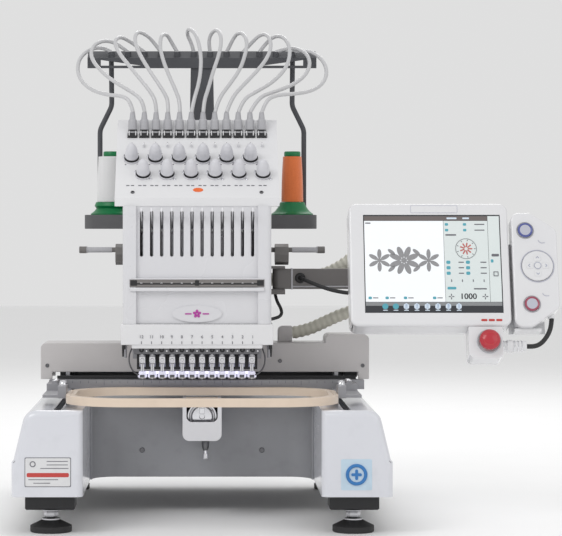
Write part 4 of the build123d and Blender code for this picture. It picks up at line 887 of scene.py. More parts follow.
# ---------------------------------------------------------------- flexible lines
TUBE_ROUTES = [
    [(-143, 178, 716), (-157, 175, 724), (-177, 166, 720), (-193, 153, 705), (-196, 137, 683),
     (-187, 120, 664), (-169, 103, 650), (-146, 87, 643), (-124, 74, 641), (-110, 65, 633),
     (-106, 62, 615)],
    [(-117, 178, 716), (-134, 175, 730), (-155, 166, 734), (-171, 153, 725), (-175, 137, 708),
     (-165, 120, 690), (-147, 103, 672), (-125, 87, 657), (-105, 74, 645), (-91, 64, 633), (-88, 62, 615)],
    [(-91, 178, 716), (-103, 175, 725), (-117, 166, 734), (-130, 153, 739), (-138, 137, 729),
     (-129, 120, 709), (-113, 103, 689), (-96, 87, 668), (-80, 74, 648), (-71, 63, 632), (-70, 62, 615)],
    [(-65, 178, 716), (-74, 175, 729), (-87, 166, 742), (-101, 153, 747), (-106, 137, 735),
     (-101, 120, 715), (-87, 103, 690), (-71, 87, 666), (-57, 74, 644), (-52, 64, 631), (-52, 62, 615)],
    [(-39, 178, 716), (-47, 174, 729), (-55, 163, 743), (-64, 148, 741), (-66, 130, 722),
     (-61, 110, 699), (-51, 92, 673), (-40, 77, 648), (-34, 65, 631), (-34, 62, 615)],
    [(-13, 178, 716), (-16, 174, 729), (-24, 165, 743), (-21, 150, 752), (-10, 132, 742),
     (-3, 110, 717), (-1, 92, 690), (-5, 77, 659), (-13, 65, 633), (-16, 62, 615)],
    [(13, 178, 716), (10, 174, 732), (15, 164, 746), (25, 149, 750), (31, 131, 734),
     (27, 110, 708), (17, 92, 679), (9, 77, 650), (3, 65, 632), (2, 62, 615)],
    [(39, 178, 716), (46, 174, 730), (54, 163, 744), (65, 148, 744), (71, 130, 728),
     (67, 110, 705), (58, 92, 681), (42, 77, 658), (25, 65, 635), (20, 62, 615)],
    [(65, 178, 716), (78, 174, 730), (92, 163, 743), (104, 148, 741), (109, 130, 723),
     (102, 110, 702), (86, 92, 681), (66, 77, 660), (45, 66, 637), (38, 62, 615)],
    [(91, 178, 716), (101, 175, 730), (115, 166, 741), (129, 153, 738), (137, 137, 723),
     (137, 120, 702), (127, 103, 680), (107, 87, 661), (83, 74, 647), (63, 64, 635), (56, 62, 615)],
    [(117, 178, 716), (133, 174, 722), (152, 163, 720), (165, 148, 711), (170, 130, 693),
     (160, 110, 673), (139, 92, 658), (111, 77, 647), (86, 66, 638), (74, 62, 615)],
    [(143, 178, 716), (162, 174, 719), (180, 163, 712), (193, 148, 697), (196, 130, 677),
     (186, 110, 659), (166, 92, 648), (141, 77, 644), (116, 67, 642), (98, 62, 634), (92, 62, 615)],
]
CONDUIT_ROUTE = [(140, 118, 274), (163, 118, 278), (189, 117, 290), (217, 115, 303), (250, 113, 313),
                 (285, 111, 324), (318, 109, 341), (339, 106, 370), (334, 103, 402), (305, 100, 422),
                 (269, 98, 417), (237, 97, 394), (205, 97, 371), (168, 98, 360), (130, 98, 357),
                 (91, 98, 358)]
CASE_CABLE_ROUTE = [(112, 56, 336), (114, 51, 326), (120, 43, 316), (122, 34, 307), (116, 26, 301),
                    (103, 20, 299)]
PANEL_CABLE_ROUTE = [(150, 50, 361), (153, 37, 360), (169, 26, 353), (193, 17, 344), (219, 10, 339),
                     (241, 0, 339), (252, -12, 343), (254, -24.6, 345)]
PENDANT_CABLE_ROUTE = [(141, -120, -22), (152, -121, -22), (164, -116, -21), (174, -103, -20),
                       (179, -90, -19), (180, -79, -19)]


@dataclass
class FlexibleLines:
    """The thread tubes, the ribbed conduit and the black cables."""

    bench: Bench
    tube_radius: float = 3.0
    ring_step: float = 4.0
    conduit_radius: float = 10.0
    rib_pitch: float = 9.0
    rib_depth: float = 1.3
    rib_rings: int = 6

    def build(self) -> None:
        """Make every line along its route."""
        for number, route in enumerate(TUBE_ROUTES, 1):
            self.line(f"thread_tube_{number}", route, self.tube_radius, TUBE, ("machine", "needle_case"),
                      "thread_tubes")
        self.conduit()
        pendant_route = [tuple(PANEL @ Vector(p)) for p in PENDANT_CABLE_ROUTE]
        for node, route, radius, bodies in (
                ("case_cable", CASE_CABLE_ROUTE, 2.5, ("machine", "needle_case")),
                ("panel_cable", PANEL_CABLE_ROUTE, 3.0, ("panel_arm", "control_panel")),
                ("pendant_cable", pendant_route, 3.5, ("control_panel", "pendant"))):
            self.line(f"{node}_black", route, radius, RUBBER, bodies, node)

    def line(self, name: str, route: list[Place], radius: float, finish: Finish, bodies: tuple[str, str],
             node: str) -> None:
        """A smooth tube between two bodies.

        Args:
            name: the piece's name.
            route: its control points in layout millimetres.
            radius: its outside radius.
            finish: what it is made of.
            bodies: the bodies at its start and its end; not used.
            node: the CAD node that it stands for.
        """
        points = evenly(smooth_line(route), self.ring_step)
        self.declare(name, points, [radius] * len(points), finish, node, 14)

    def conduit(self) -> None:
        """The ribbed conduit from the beam, round behind the panel, to the head's flank."""
        points = evenly(smooth_line(CONDUIT_ROUTE[::-1]), self.rib_pitch / self.rib_rings)
        radii = [self.conduit_radius - self.rib_depth * (1 - math.cos(math.tau * k / self.rib_rings)) / 2
                 for k in range(len(points))]
        self.declare("frame_conduit_ribbed", points, radii, CONDUIT,
                     "frame_conduit", 20)

    def declare(self, name: str, points: list[Vector], radii: list[float], finish: Finish,
                node: str, sides: int) -> None:
        """Make the tube along its points, hide the CAD node that it stands for and bake its place.

        Args:
            name: the piece's name.
            points: the middles of its rings.
            radii: the radius of each ring.
            finish: what it is made of.
            node: the CAD node that it stands for.
            sides: how many flats it has round it.
        """
        bm = fresh()
        hose(bm, points, radii, sides)
        made = self.bench.piece(name, bm, finish, None, smooth=60, slot=self.bench.slots[node])
        line = [self.bench.layout.point(p) for p in points]
        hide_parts(node)
        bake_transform(made)


# ---------------------------------------------------------------- stand, hook arm and head
@dataclass
class Stand:
    """Legs, cross panel, feet and their labels."""

    bench: Bench
    leg_front_y: float = -200.0
    foot_x: float = 218.0
    foot_y: Span = (-150.0, 390.0)
    stud: float = 6.4
    pads_top: float = 34.5
    left_label: Span = (-219.5, 90.5)
    right_label: Span = (219.5, 87.0)

    def feet(self) -> list[Matrix]:
        """Where the four feet stand."""
        return [Matrix.Translation((side * self.foot_x, y, 0)) for side in SIDES for y in self.foot_y]

    def build(self) -> None:
        """Carry the covers over and add lock nuts, labels, screws and washers."""
        carry = self.bench.carry
        for side in ("left", "right"):
            carry(f"{side}_leg_cover", LEG, bevel=1.2)
            for end in ("front", "rear"):
                carry(f"foot_{end}_{side}", RUBBER)
        self.beams()
        carry("cross_panel", PANEL_GREY, bevel=0.8)
        carry("cross_box", BOX_GREY, bevel=0.8)
        self.labels()
        self.screws()
        self.treads()

    def beams(self) -> None:
        """The beams and foot blocks, with bright lock nuts in place of the plain ones."""
        skin = self.bench.carry("leg_beams", BLACK)
        bm = fresh()
        bm.from_mesh(skin.data)
        nuts = [v for v in bm.verts if v.co.z < (self.pads_top - 1) * MM]
        bmesh.ops.delete(bm, geom=nuts, context="VERTS")
        plain = [f for f in bm.faces if f.normal.z > 0.9 and f.calc_center_median().z < self.pads_top * MM]
        bmesh.ops.delete(bm, geom=plain, context="FACES")
        bm.to_mesh(skin.data)
        bm.free()
        with self.bench.shape("lock_nuts", STEEL, bevel=0.4) as bm:
            hexagon = [(self.stud, 21), (9.6, 21), (10.6, 22.2), (10.6, 29), (9.6, 30.2), (self.stud, 30.2),
                       (self.stud, 21)]
            for stand in self.feet():
                lathe(bm, hexagon, stand, 6)
                washer(bm, (self.stud, 12.4), (30.2, 32), stand)
        with self.bench.shape("foot_pads", BLACK, bevel=0.6) as bm:
            for stand in self.feet():
                washer(bm, (self.stud, 16), (32, 35), stand)

    def labels(self) -> None:
        """A plain plate on the left leg and a plain sticker on the right one."""
        front = self.leg_front_y
        x, z = self.left_label
        self.tag("left_label_rim", (x, z), (66, 42), INK, front)
        self.tag("left_label_card", (x, z), (64, 40), PAPER, front - 0.25)
        self.tag("left_label_band", (x, z - 4), (60, 6), BAND_RED, front - 0.4)
        x, z = self.right_label
        self.tag("right_label_card", (x, z), (44, 44), PALE_SKY, front)
        with self.bench.shape("right_label_rings", SKY) as bm:
            turn = pointing((x, front - 0.5, z), (0, -1, 0))
            hoop(bm, 13, 2.4, turn)
            plate(bm, rounded(4, 15, 1.9), 0.6, turn)
            plate(bm, rounded(15, 4, 1.9), 0.75, turn)
        with self.bench.shape("left_label_lines", INK) as bm:
            for x, z, width in ((-206, 106, 30), (-206, 101, 30), (-210, 96, 40), (-226, 80, 42),
                                (-228, 75, 24)):
                cuboid(bm, (x - width / 2, x + width / 2), (front - 0.75, front - 0.4), (z - 0.5, z + 0.5))
            hoop(bm, 3.6, 0.7, pointing((-241, front - 0.5, 102), (0, -1, 0)))

    def tag(self, name: str, middle: Span, size: Span, finish: Finish, y: float) -> None:
        """One thin card with round corners on a leg's front face.

        Args:
            name: the piece's name.
            middle: its middle, across and up.
            size: its width and height.
            finish: what it is made of.
            y: where its back lies.
        """
        with self.bench.shape(name, finish) as bm:
            turn = pointing((middle[0], y, middle[1]), (0, -1, 0))
            plate(bm, rounded(size[0], size[1], 2), 0.3, turn)

    def screws(self) -> None:
        """Small screws on the cross panel and along the legs' outer flanks."""
        with self.bench.shape("stand_screws", BOLT) as bm:
            for x in (-92, 92):
                self.screw(bm, (x, 69, 96), (0, -1, 0))
            for side in SIDES:
                for y in (-120, 120, 380):
                    self.screw(bm, (side * 272, y, 80), (side, 0, 0))

    @staticmethod
    def screw(bm: bmesh.types.BMesh, place: Place, way: Place, radius: float = 4.0) -> None:
        """Add one domed screw head with a socket."""
        lathe(bm, [(0, 0.4), (radius * 0.45, 0.4), (radius * 0.5, 1.5), (radius * 0.8, 1.5), (radius, 0.8),
                   (radius, -0.2), (0, -0.2)], pointing(place, way), 20)

    def treads(self) -> None:
        """Steel rings between the feet's lock nuts and discs."""
        with self.bench.shape("foot_washers", STEEL) as bm:
            for stand in self.feet():
                washer(bm, (self.stud, 13), (17.6, 19.4), stand)


@dataclass
class HookArm:
    """The arm under the needles with its plate, hook and bobbin case."""

    bench: Bench
    shaft_height: float = 156.0
    race_inside: float = 19.6
    race_y: Span = (-37.0, -30.0)
    baffle: tuple[Span, Span, Span] = ((-25.0, 25.0), (2.0, 4.0), (126.0, 178.0))
    lever_rod: float = 2.6

    def build(self) -> None:
        """Carry the arm over, hang its lever and line its inside: the hook's race, and a black block behind
        the hook that is painted shade.
        """
        for node, finish, bevel in (("hook_arm", CASE, 0.9), ("needle_plate", CHROME, 0.3),
                                    ("rotary_hook", STEEL, 0.3), ("bobbin_case", CHROME, 0.3)):
            self.bench.carry(node, finish, bevel=bevel)
        self.lever()
        with self.bench.shape("hook_race", CHROME) as bm:
            inside, (front, rear) = self.race_inside, self.race_y
            lathe(bm, [(inside, front), (21.5, front), (22, front + 3), (22, rear), (inside, rear),
                       (inside, front)],
                  pointing((0, 0, self.shaft_height), (0, 1, 0)), 48)
        # Painted shade: a black block stands for the shaded inside of the arm behind the hook.
        with self.bench.shape("hook_painted_shade_block", BLACK) as bm:
            cuboid(bm, *self.baffle)

    def lever(self) -> None:
        """The release lever that hangs from the arm's nose: a sleeve with a bright tip."""
        to_layout = self.bench.layout.matrix().inverted()
        low, high = (to_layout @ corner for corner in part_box("hook_arm_ring"))
        x, y, _ = (low + high) / 2
        with self.bench.shape("release_lever", BOLT) as bm:
            lathe(bm, [(0, 0), (4.2, 0), (5.6, -3), (5.2, -12), (3.4, -16), (0, -16)],
                  Matrix.Translation((x, y, high.z)), 28)
        with self.bench.shape("release_tip", CHROME, replaces=("hook_arm_ring",)) as bm:
            lathe(bm, [(0, 8), (3.6, 8), (4.4, 5), (4.6, 1.6), (3.4, 0.2), (0, 0)],
                  Matrix.Translation((x, y, low.z)), 28)
            bar(bm, (x, y, low.z + 6), (x, y, high.z - 14), self.lever_rod)


@dataclass
class HeadAndColumn:
    """The head, the column, the drive inside them and what hangs on their flanks."""

    bench: Bench
    flank_x: float = 85.0
    back_y: float = 440.0
    seam_y: Span = (228.0, 229.0)
    vents: int = 9
    vent_low: float = 210.0
    vent_pitch: float = 8.0
    sleeve: Place = (138.0, 60.0, 404.0)

    def build(self) -> None:
        """Carry the casings over, dress the works and add vents, seams and fixings."""
        for node, finish, bevel in (("head_cover", COVER, 0.9), ("column_cover", COVER, 0.9),
                                    ("side_handles", HANDLE, 0.5), ("panel_bracket", ARM, 0.6)):
            self.bench.carry(node, finish, bevel=bevel)
        for node, finish in (("bearing_blocks", CAST), ("main_motor", BLACK), ("drive_belt", RUBBER),
                             ("main_shaft", STEEL)):
            self.bench.dress(node, finish)
        self.grips()
        with self.bench.shape("rear_vents", BLACK) as bm:
            for row in range(self.vents):
                z = self.vent_low + self.vent_pitch * row
                plate(bm, rounded(90, 3.2, 1.6), 0.5, pointing((0, self.back_y, z), (0, 1, 0)))
        self.screws()
        with self.bench.shape("head_seam", INK) as bm:
            for side in SIDES:
                flank = side * self.flank_x
                cuboid(bm, (flank - 0.4, flank + 0.4), self.seam_y, (291, 424))
            cuboid(bm, (-73, 73), self.seam_y, (435.4, 436.4))

    def screws(self) -> None:
        """The casing's screws, on its back and its flanks."""
        with self.bench.shape("head_screws", BOLT) as bm:
            for x in (-70, 70):
                for z in (190, 275, 305, 415):
                    Stand.screw(bm, (x, self.back_y, z), (0, 1, 0))
            for side in SIDES:
                for y in (150, 400):
                    for z in (306, 408):
                        Stand.screw(bm, (side * self.flank_x, y, z), (side, 0, 0))

    def grips(self) -> None:
        """Pale sleeves and end caps on the side rods."""
        x, y, z = self.sleeve
        with self.bench.shape("rod_sleeves", STUB) as bm:
            for side in SIDES:
                lathe(bm, [(3.8, 0), (4.2, 0.4), (4.3, 37), (5.0, 37.6), (5.2, 49), (4.6, 50.4), (0, 50.4)],
                      pointing((side * x, y, z), (side, 0, 0)), 28)


# ---------------------------------------------------------------- sewing field
@dataclass
class SewingField:
    """The beam, the frame bar and the hoop."""

    bench: Bench
    beam_front: float = 70.0
    bar_middle: float = 7.0
    scale_marks: int = 37
    scale_pitch: float = 12.0
    clamp_x: float = 204.0
    clamp_y: float = -93.5
    arm_screw_x: float = 220.3

    def build(self) -> None:
        """Carry the parts over, then the works on the beam, the bar and the hoop's arms."""
        for node, finish, bevel in (("beam_cover", BEAM, 1.0), ("beam_frame", STEEL, 0),
                                    ("frame_bar", BAR, 0.7),
                                    ("hoop_arms", BAR, 0.6), ("hoop_outer_ring", HOOP, 0),
                                    ("hoop_inner_ring", HOOP, 0)):
            self.bench.carry(node, finish, bevel=bevel)
        self.beam()
        self.frame_bar()
        self.thumbscrews()

    def beam(self) -> None:
        """The beam's screws and the dark apron under it."""
        with self.bench.shape("beam_screws", BOLT, "y_carriage") as bm:
            for x, z in ((-238, 226), (-60, 233), (120, 233), (247, 226)):
                Stand.screw(bm, (x, self.beam_front, z), (0, -1, 0), 3)
        with self.bench.shape("beam_apron", BLACK, "y_carriage", bevel=0.6) as bm:
            cuboid(bm, (-222, 232), (133, 137), (206, 217))
            for x in ((-214, -202), (220, 240)):
                cuboid(bm, x, (96, 132), (206.5, 216.8))

    def frame_bar(self) -> None:
        """The bar's scale, with a longer mark at each fifth place, and its dark fin."""
        with self.bench.shape("bar_scale", INK, "x_carriage") as bm:
            for k in range(self.scale_marks):
                x = self.bar_middle + (k - self.scale_marks // 2) * self.scale_pitch
                cuboid(bm, (x - 0.3, x + 0.3), (34.7, 35.1), (201 if k % 5 else 198, 205))
        with self.bench.shape("bar_fin", BLACK, "x_carriage", bevel=0.5) as bm:
            cuboid(bm, (-222, 236), (57, 59.6), (205, 211.2))

    def thumbscrews(self) -> None:
        """The screws that hold the hoop and its arms."""
        with self.bench.shape("hoop_thumbscrews", CHROME, "x_carriage", bevel=0.2) as bm:
            for side in SIDES:
                for y in (-10, 10):
                    Stand.screw(bm, (side * self.arm_screw_x, y, 208), (0, 0, 1), 4.6)
                foot, shoulder, top = ((side * self.clamp_x, self.clamp_y, z) for z in (207, 213, 214))
                bar(bm, foot, shoulder, 5, 28)
                bar(bm, shoulder, top, 5, 28, 4)


# ---------------------------------------------------------------- needle case
@dataclass
class NeedleCase:
    """The sliding case: cover, visor, needles, feet, levers and lamp."""

    bench: Bench
    centre: float = CASE_MIDDLE
    pitch: float = 15.0
    panel_y: float = -49.0

    def places(self, numbers: tuple[int, ...]) -> list[float]:
        """Where the needles of these numbers are at rest."""
        return [(ACTIVE - number) * self.pitch for number in numbers]

    def build(self) -> None:
        """Carry the CAD parts over, then the small works under and on the case."""
        carry = self.bench.carry
        carry("needle_case_cover", CASE, bevel=0.6)
        carry("needle_case_frame", BAR, bevel=0.4)
        carry("number_visor", COVER, bevel=0.8)
        for node in ("parked_needle_bars", "needle_bar_6"):
            carry(node, STEEL)
        for node in ("parked_presser_feet", "presser_foot_6"):
            carry(node, CHROME)
        for node in ("parked_take_up_levers", "take_up_lever_6"):
            carry(node, LEVER)
        self.numbers()
        self.channel()
        self.emblem()
        self.lamps()
        for needles in NEEDLE_SETS:
            self.clamps(needles)
            self.shields(needles)
            self.cups(needles)
            self.springs(needles)
        self.side_hooks()
        self.lining()

    def numbers(self) -> None:
        """Plain figures and ticks along the visor, one for each needle."""
        figures, ticks = fresh(), fresh()
        for number, x in zip(NUMBERS, self.places(NUMBERS)):
            lettering(figures, str(number), 6.5, pointing((x, -58.0, 276), (0, -1, 0)))
            cuboid(ticks, (x - 0.5, x + 0.5), (-58.3, -57.6), (265.5, 269.5))
        self.bench.piece("visor_numbers", figures, INK, "needle_case", smooth=20)
        self.bench.piece("visor_ticks", ticks, INK, "needle_case")

    def channel(self) -> None:
        """The thread strip across the cover, with dark ends and middle."""
        wide = (self.centre - 100, self.centre + 100)
        with self.bench.shape("thread_channel", CHANNEL, "needle_case", bevel=0.6) as bm:
            cuboid(bm, wide, (self.panel_y - 7.2, self.panel_y + 0.5), (350, 361.5))
        with self.bench.shape("thread_lips", CASE, "needle_case", bevel=1.2) as bm:
            cuboid(bm, wide, (self.panel_y - 9.2, self.panel_y + 0.5), (343.5, 349.2))
            cuboid(bm, wide, (self.panel_y - 8.2, self.panel_y + 0.5), (361, 363))
        with self.bench.shape("thread_strip_grips", BLACK, "needle_case", bevel=0.6) as bm:
            cuboid(bm, (wide[0] + 8, wide[1] - 8), (self.panel_y - 7.7, self.panel_y - 6), (353.5, 356))
            for x, half in ((-94, 5), (0, 3), (94, 5)):
                cuboid(bm, (self.centre + x - half, self.centre + x + half),
                       (self.panel_y - 7.9, self.panel_y), (352, 360))
        with self.bench.shape("thread_eyes", CHROME, "needle_case") as bm:
            for x in self.places(NUMBERS):
                hoop(bm, 2.0, 0.5, pointing((x, self.panel_y - 8.2, 356), (0, 0, 1)), steps=16)

    def emblem(self) -> None:
        """A plain emblem on the oval pad: a five-petalled flower between two bars."""
        with self.bench.shape("pad_emblem", PLUM, "needle_case") as bm:
            middle = pointing((self.centre, self.panel_y - 2.0, 310), (0, -1, 0))
            for k in range(5):
                turn = middle @ Matrix.Rotation(math.tau * k / 5, 4, "Z") @ Matrix.Translation((0, 3.6, 0))
                plate(bm, oval(4.2, 5.6, 24), 0.6, turn)
            for side in SIDES:
                plate(bm, rounded(10, 2, 0.9), 0.6, middle @ Matrix.Translation((side * 13, 0, 0)))

    def lamps(self) -> None:
        """The visor's lip, the dark backing and the lit strips among the needles."""
        wide = (self.centre - 97, self.centre + 97)
        with self.bench.shape("visor_lip", COVER, "needle_case", bevel=1.0) as bm:
            cuboid(bm, wide, (-57, -54), (258.5, 265))
            cuboid(bm, wide, (-54, -40), (262.4, 264.4))
        with self.bench.shape("lamp_rail", BOLT, "needle_case", bevel=0.8) as bm:
            cuboid(bm, (wide[0] + 4, wide[1] - 4), (-52, -42), (250, 262))
        with self.bench.shape("needle_backing", BLACK, "needle_case", bevel=0.5) as bm:
            cuboid(bm, (wide[0] + 6, wide[1] - 6), (8, 9.8), (224, 262))
        with self.bench.shape("lamp_strip", LAMP, "needle_case", bevel=0.6) as bm:
            cuboid(bm, (wide[0] + 10, wide[1] - 10), (9.0, 10.4), (217, 221))
        with self.bench.shape("lamp_lenses", CHROME, "needle_case") as bm:
            for x in self.places(NUMBERS):
                lathe(bm, [(0, 1.8), (1.3, 1.4), (1.8, 0), (0, 0)],
                      pointing((x + 7.5, -52, 255), (0, -1, 0)), 16)
        with self.bench.shape("visor_pins", BLACK, "needle_case", bevel=0.6) as bm:
            for side in SIDES:
                x = self.centre + side * 109
                cuboid(bm, (x - 2.6, x + 2.6), (-52, -44), (257, 273))
                bar(bm, (x + side, -48, 257), (x + side, -48, 246), 1.8, 16, 1.2)
        with self.bench.shape("guide_bushes", BLACK, "needle_case") as bm:
            for x in self.places(NUMBERS):
                lathe(bm, [(1.2, -1), (3.4, -1), (3.8, 1.2), (2.6, 2.6), (1.2, 2.6), (1.2, -1)],
                      pointing((x, -52, 256.5), (0, -1, 0)), 20)

    def clamps(self, needles: NeedleSet) -> None:
        """Needle clamps with their screws and thread hooks.

        Args:
            needles: the needles that they belong to.
        """
        with self.bench.shape(f"needle_clamps_{needles.suffix}", CHROME, needles.bar, bevel=0.4) as bm:
            for x in self.places(needles.numbers):
                cuboid(bm, (x - 4.6, x + 4.6), (-5.2, 4.2), (234, 244))
                bar(bm, (x, -5, 239), (x, -9, 239), 2.6, 16)
                bar(bm, (x - 3.4, -7, 233), (x + 3.4, -7, 233), 0.6, 10)
                bar(bm, (x - 3.4, -7, 233), (x - 3.4, -4, 236), 0.6, 10)

    def shields(self, needles: NeedleSet) -> None:
        """The clear plates behind the needles, which go down with the feet; their glow is painted light.

        Args:
            needles: the needles that they belong to.
        """
        with self.bench.shape(f"needle_shields_{needles.suffix}", SHIELD_PAINTED_GLOW, needles.foot, bevel=0.5) as bm:
            for x in self.places(needles.numbers):
                cuboid(bm, (x - 4.7, x + 4.7), (6.4, 7.7), (228, 246))

    def cups(self, needles: NeedleSet) -> None:
        """The white cups of the presser feet, whose finish glows with painted light.

        Args:
            needles: the needles that they belong to.
        """
        with self.bench.shape(f"foot_cups_{needles.suffix}", CUP_PAINTED_GLOW, needles.foot) as bm:
            profile = [(3.0, 211.2), (5.6, 211.2), (6.9, 213), (6.9, 217), (5.4, 219), (5.2, 221),
                       (4.2, 221), (3.0, 218), (3.0, 211.2)]
            for x in self.places(needles.numbers):
                lathe(bm, profile, Matrix.Translation((x, 0, 0)), 24)
        with self.bench.shape(f"foot_windows_{needles.suffix}", INK, needles.foot, bevel=0.8) as bm:
            for x in self.places(needles.numbers):
                cuboid(bm, (x - 3.6, x + 3.6), (-7.5, -5.5), (212.4, 216.8))

    def springs(self, needles: NeedleSet) -> None:
        """A short coil on each foot's stem.

        Args:
            needles: the needles that they belong to.
        """
        with self.bench.shape(f"foot_springs_{needles.suffix}", STEEL, needles.foot) as bm:
            turns, steps = 5, 12
            for x in self.places(needles.numbers):
                line = [Vector((x + 3.4 * math.cos(math.tau * k / steps),
                                6.4 + 1.9 * math.sin(math.tau * k / steps),
                                247 + 2.2 * k / steps)) for k in range(turns * steps + 1)]
                hose(bm, line, [0.5] * len(line), 6)

    def side_hooks(self) -> None:
        """Bright wire hooks at both ends of the case's foot."""
        with self.bench.shape("case_hooks", BOLT, "needle_case") as bm:
            for side in SIDES:
                x = self.centre + side * 95
                route = [(x, -6, 262), (x + side * 6, -8, 252), (x + side * 8, -10, 238),
                         (x + side * 4, -12, 226), (x - side * 3, -12, 218), (x - side * 8, -12, 217)]
                line = evenly(smooth_line(route), 2)
                hose(bm, line, [1.2] * len(line), 10)

    def lining(self) -> None:
        """The case's back seen through the levers' slots, painted black: painted shade for the inside of
        the case.
        """
        # Painted shade: a black plate stands for the shaded inside of the case.
        with self.bench.shape("case_painted_shade_plate", BLACK, "needle_case") as bm:
            cuboid(bm, (self.centre - 98, self.centre + 98), (5.6, 7.9), (290, 452))


# ---------------------------------------------------------------- tension box
@dataclass
class TensionBox:
    """The sloping box with its knobs and tube connectors."""

    bench: Bench
    centre: float = CASE_MIDDLE
    pitch: float = 18.0
    start: Span = (-50.0, 482.0)
    end: Span = (83.0, 604.0)
    rows: Span = (0.49, 0.29)

    def slope(self, x: float, share: float, out: float = 0.0) -> Matrix:
        """A matrix on the slope: X across, Y up the slope, Z out of it.

        Args:
            x: the place across the machine.
            share: how far up the slope, from 0 to 1.
            out: how far out of the slope.

        Returns:
            The matrix.
        """
        up = Vector((0, self.end[0] - self.start[0], self.end[1] - self.start[1]))
        normal = Vector((0, -up.z, up.y)).normalized()
        place = Vector((x, self.start[0], self.start[1])) + share * up + out * normal
        up.normalize()
        turn = Matrix((Vector((1, 0, 0)), up, normal)).transposed().to_4x4()
        return Matrix.Translation(place) @ turn

    def thread_x(self, number: int) -> float:
        """Where a thread crosses the box."""
        return self.centre + ((NEEDLES + 1) / 2 - number) * self.pitch

    def build(self) -> None:
        """Carry the box and knobs over and add rings, guides, connectors and marks."""
        carry = self.bench.carry
        carry("tension_box", COVER, bevel=1.8)
        carry("parked_tension_knobs", KNOB)
        carry("tension_knob_6", KNOB)
        for needles in NEEDLE_SETS:
            self.knob_trim(needles)
        self.guides()
        self.collars()
        self.marks()

    def knob_trim(self, needles: NeedleSet) -> None:
        """Black rings under the knobs.

        Args:
            needles: the needles whose knobs are trimmed.
        """
        with self.bench.shape(f"knob_rings_{needles.suffix}", BLACK, needles.knob) as bm:
            for number in needles.numbers:
                turn = self.slope(self.thread_x(number), self.rows[number % 2], 3.4)
                lathe(bm, [(8.6, -3.0), (11.2, -3.0), (11.5, -1.4), (11.0, 0.4), (8.6, 0.4), (8.6, -3.0)],
                      turn, 36)

    def guides(self) -> None:
        """The bright check springs and guide pins beside the knobs."""
        with self.bench.shape("thread_guides", CHROME, "needle_case") as bm:
            for number in NUMBERS:
                x = self.thread_x(number)
                row = self.rows[number % 2]
                for across, share in ((11.5, row - 0.055), (-11.5, row + 0.03)):
                    turn = self.slope(x + across, share)
                    lathe(bm, [(0, 5.2), (1.1, 4.8), (1.1, 0.6), (2.4, 0.4), (2.4, -0.5), (0, -0.5)],
                          turn, 14)
                hoop(bm, 3.2, 0.7, self.slope(x, 0.655, 3.4) @ Matrix.Rotation(math.pi / 2, 4, "Y"),
                     steps=24)
                bar(bm, tuple(self.slope(x, 0.655, -0.5).translation),
                    tuple(self.slope(x, 0.655, 1).translation), 2.2, 14)

    def collars(self) -> None:
        """The connectors' ribbed sleeves and their black feet."""
        sleeves, feet, prongs = fresh(), fresh(), fresh()
        for number in NUMBERS:
            x = self.thread_x(number)
            stand = Matrix.Translation((x, 62, 0))
            lathe(sleeves, [(0, 580), (6.3, 580), (6.6, 588), (6.5, 601.5), (6.0, 603.5), (4.8, 604.6),
                            (4.2, 610), (3.5, 615), (0, 615)], stand, 28)
            cuboid(feet, (-7.6, 7.6), (-5, 4), (-0.3, 3.2), self.slope(x, 0.79))
            for across in (-5, 5):
                cuboid(prongs, (across - 0.7, across + 0.7), (-3, 7), (3, 4.6), self.slope(x, 0.79))
            washer(feet, (5.6, 6.9), (585.4, 588.4), stand, 24)
        self.bench.piece("connector_sleeves", sleeves, STUB, "needle_case", replaces=("tube_connectors",))
        self.bench.piece("connector_prongs", prongs, COVER, "needle_case")
        self.bench.piece("connector_feet", feet, BLACK, "needle_case", bevel=0.5)

    def marks(self) -> None:
        """Small printed marks, the orange spot and two screws."""
        with self.bench.shape("box_marks", INK, "needle_case") as bm:
            for number in NUMBERS:
                x = self.thread_x(number)
                for across in (-4.5, 2.5):
                    plate(bm, rounded(5, 2, 0.8), 0.25, self.slope(x + across, 0.155))
                plate(bm, oval(2.4, 2.4, 12), 0.25, self.slope(x - 9, 0.42))
                plate(bm, oval(2.4, 2.4, 12), 0.25, self.slope(x - 9, 0.56))
        with self.bench.shape("orange_spot", ORANGE, "needle_case") as bm:
            plate(bm, oval(15, 9), 0.5, self.slope(self.centre + 1.5, 0.10))
        with self.bench.shape("box_screws", BOLT, "needle_case") as bm:
            for side in SIDES:
                turn = self.slope(self.centre + side * 96, 0.07)
                Stand.screw(bm, tuple(turn.translation), tuple(turn.to_3x3().col[2]), 3)


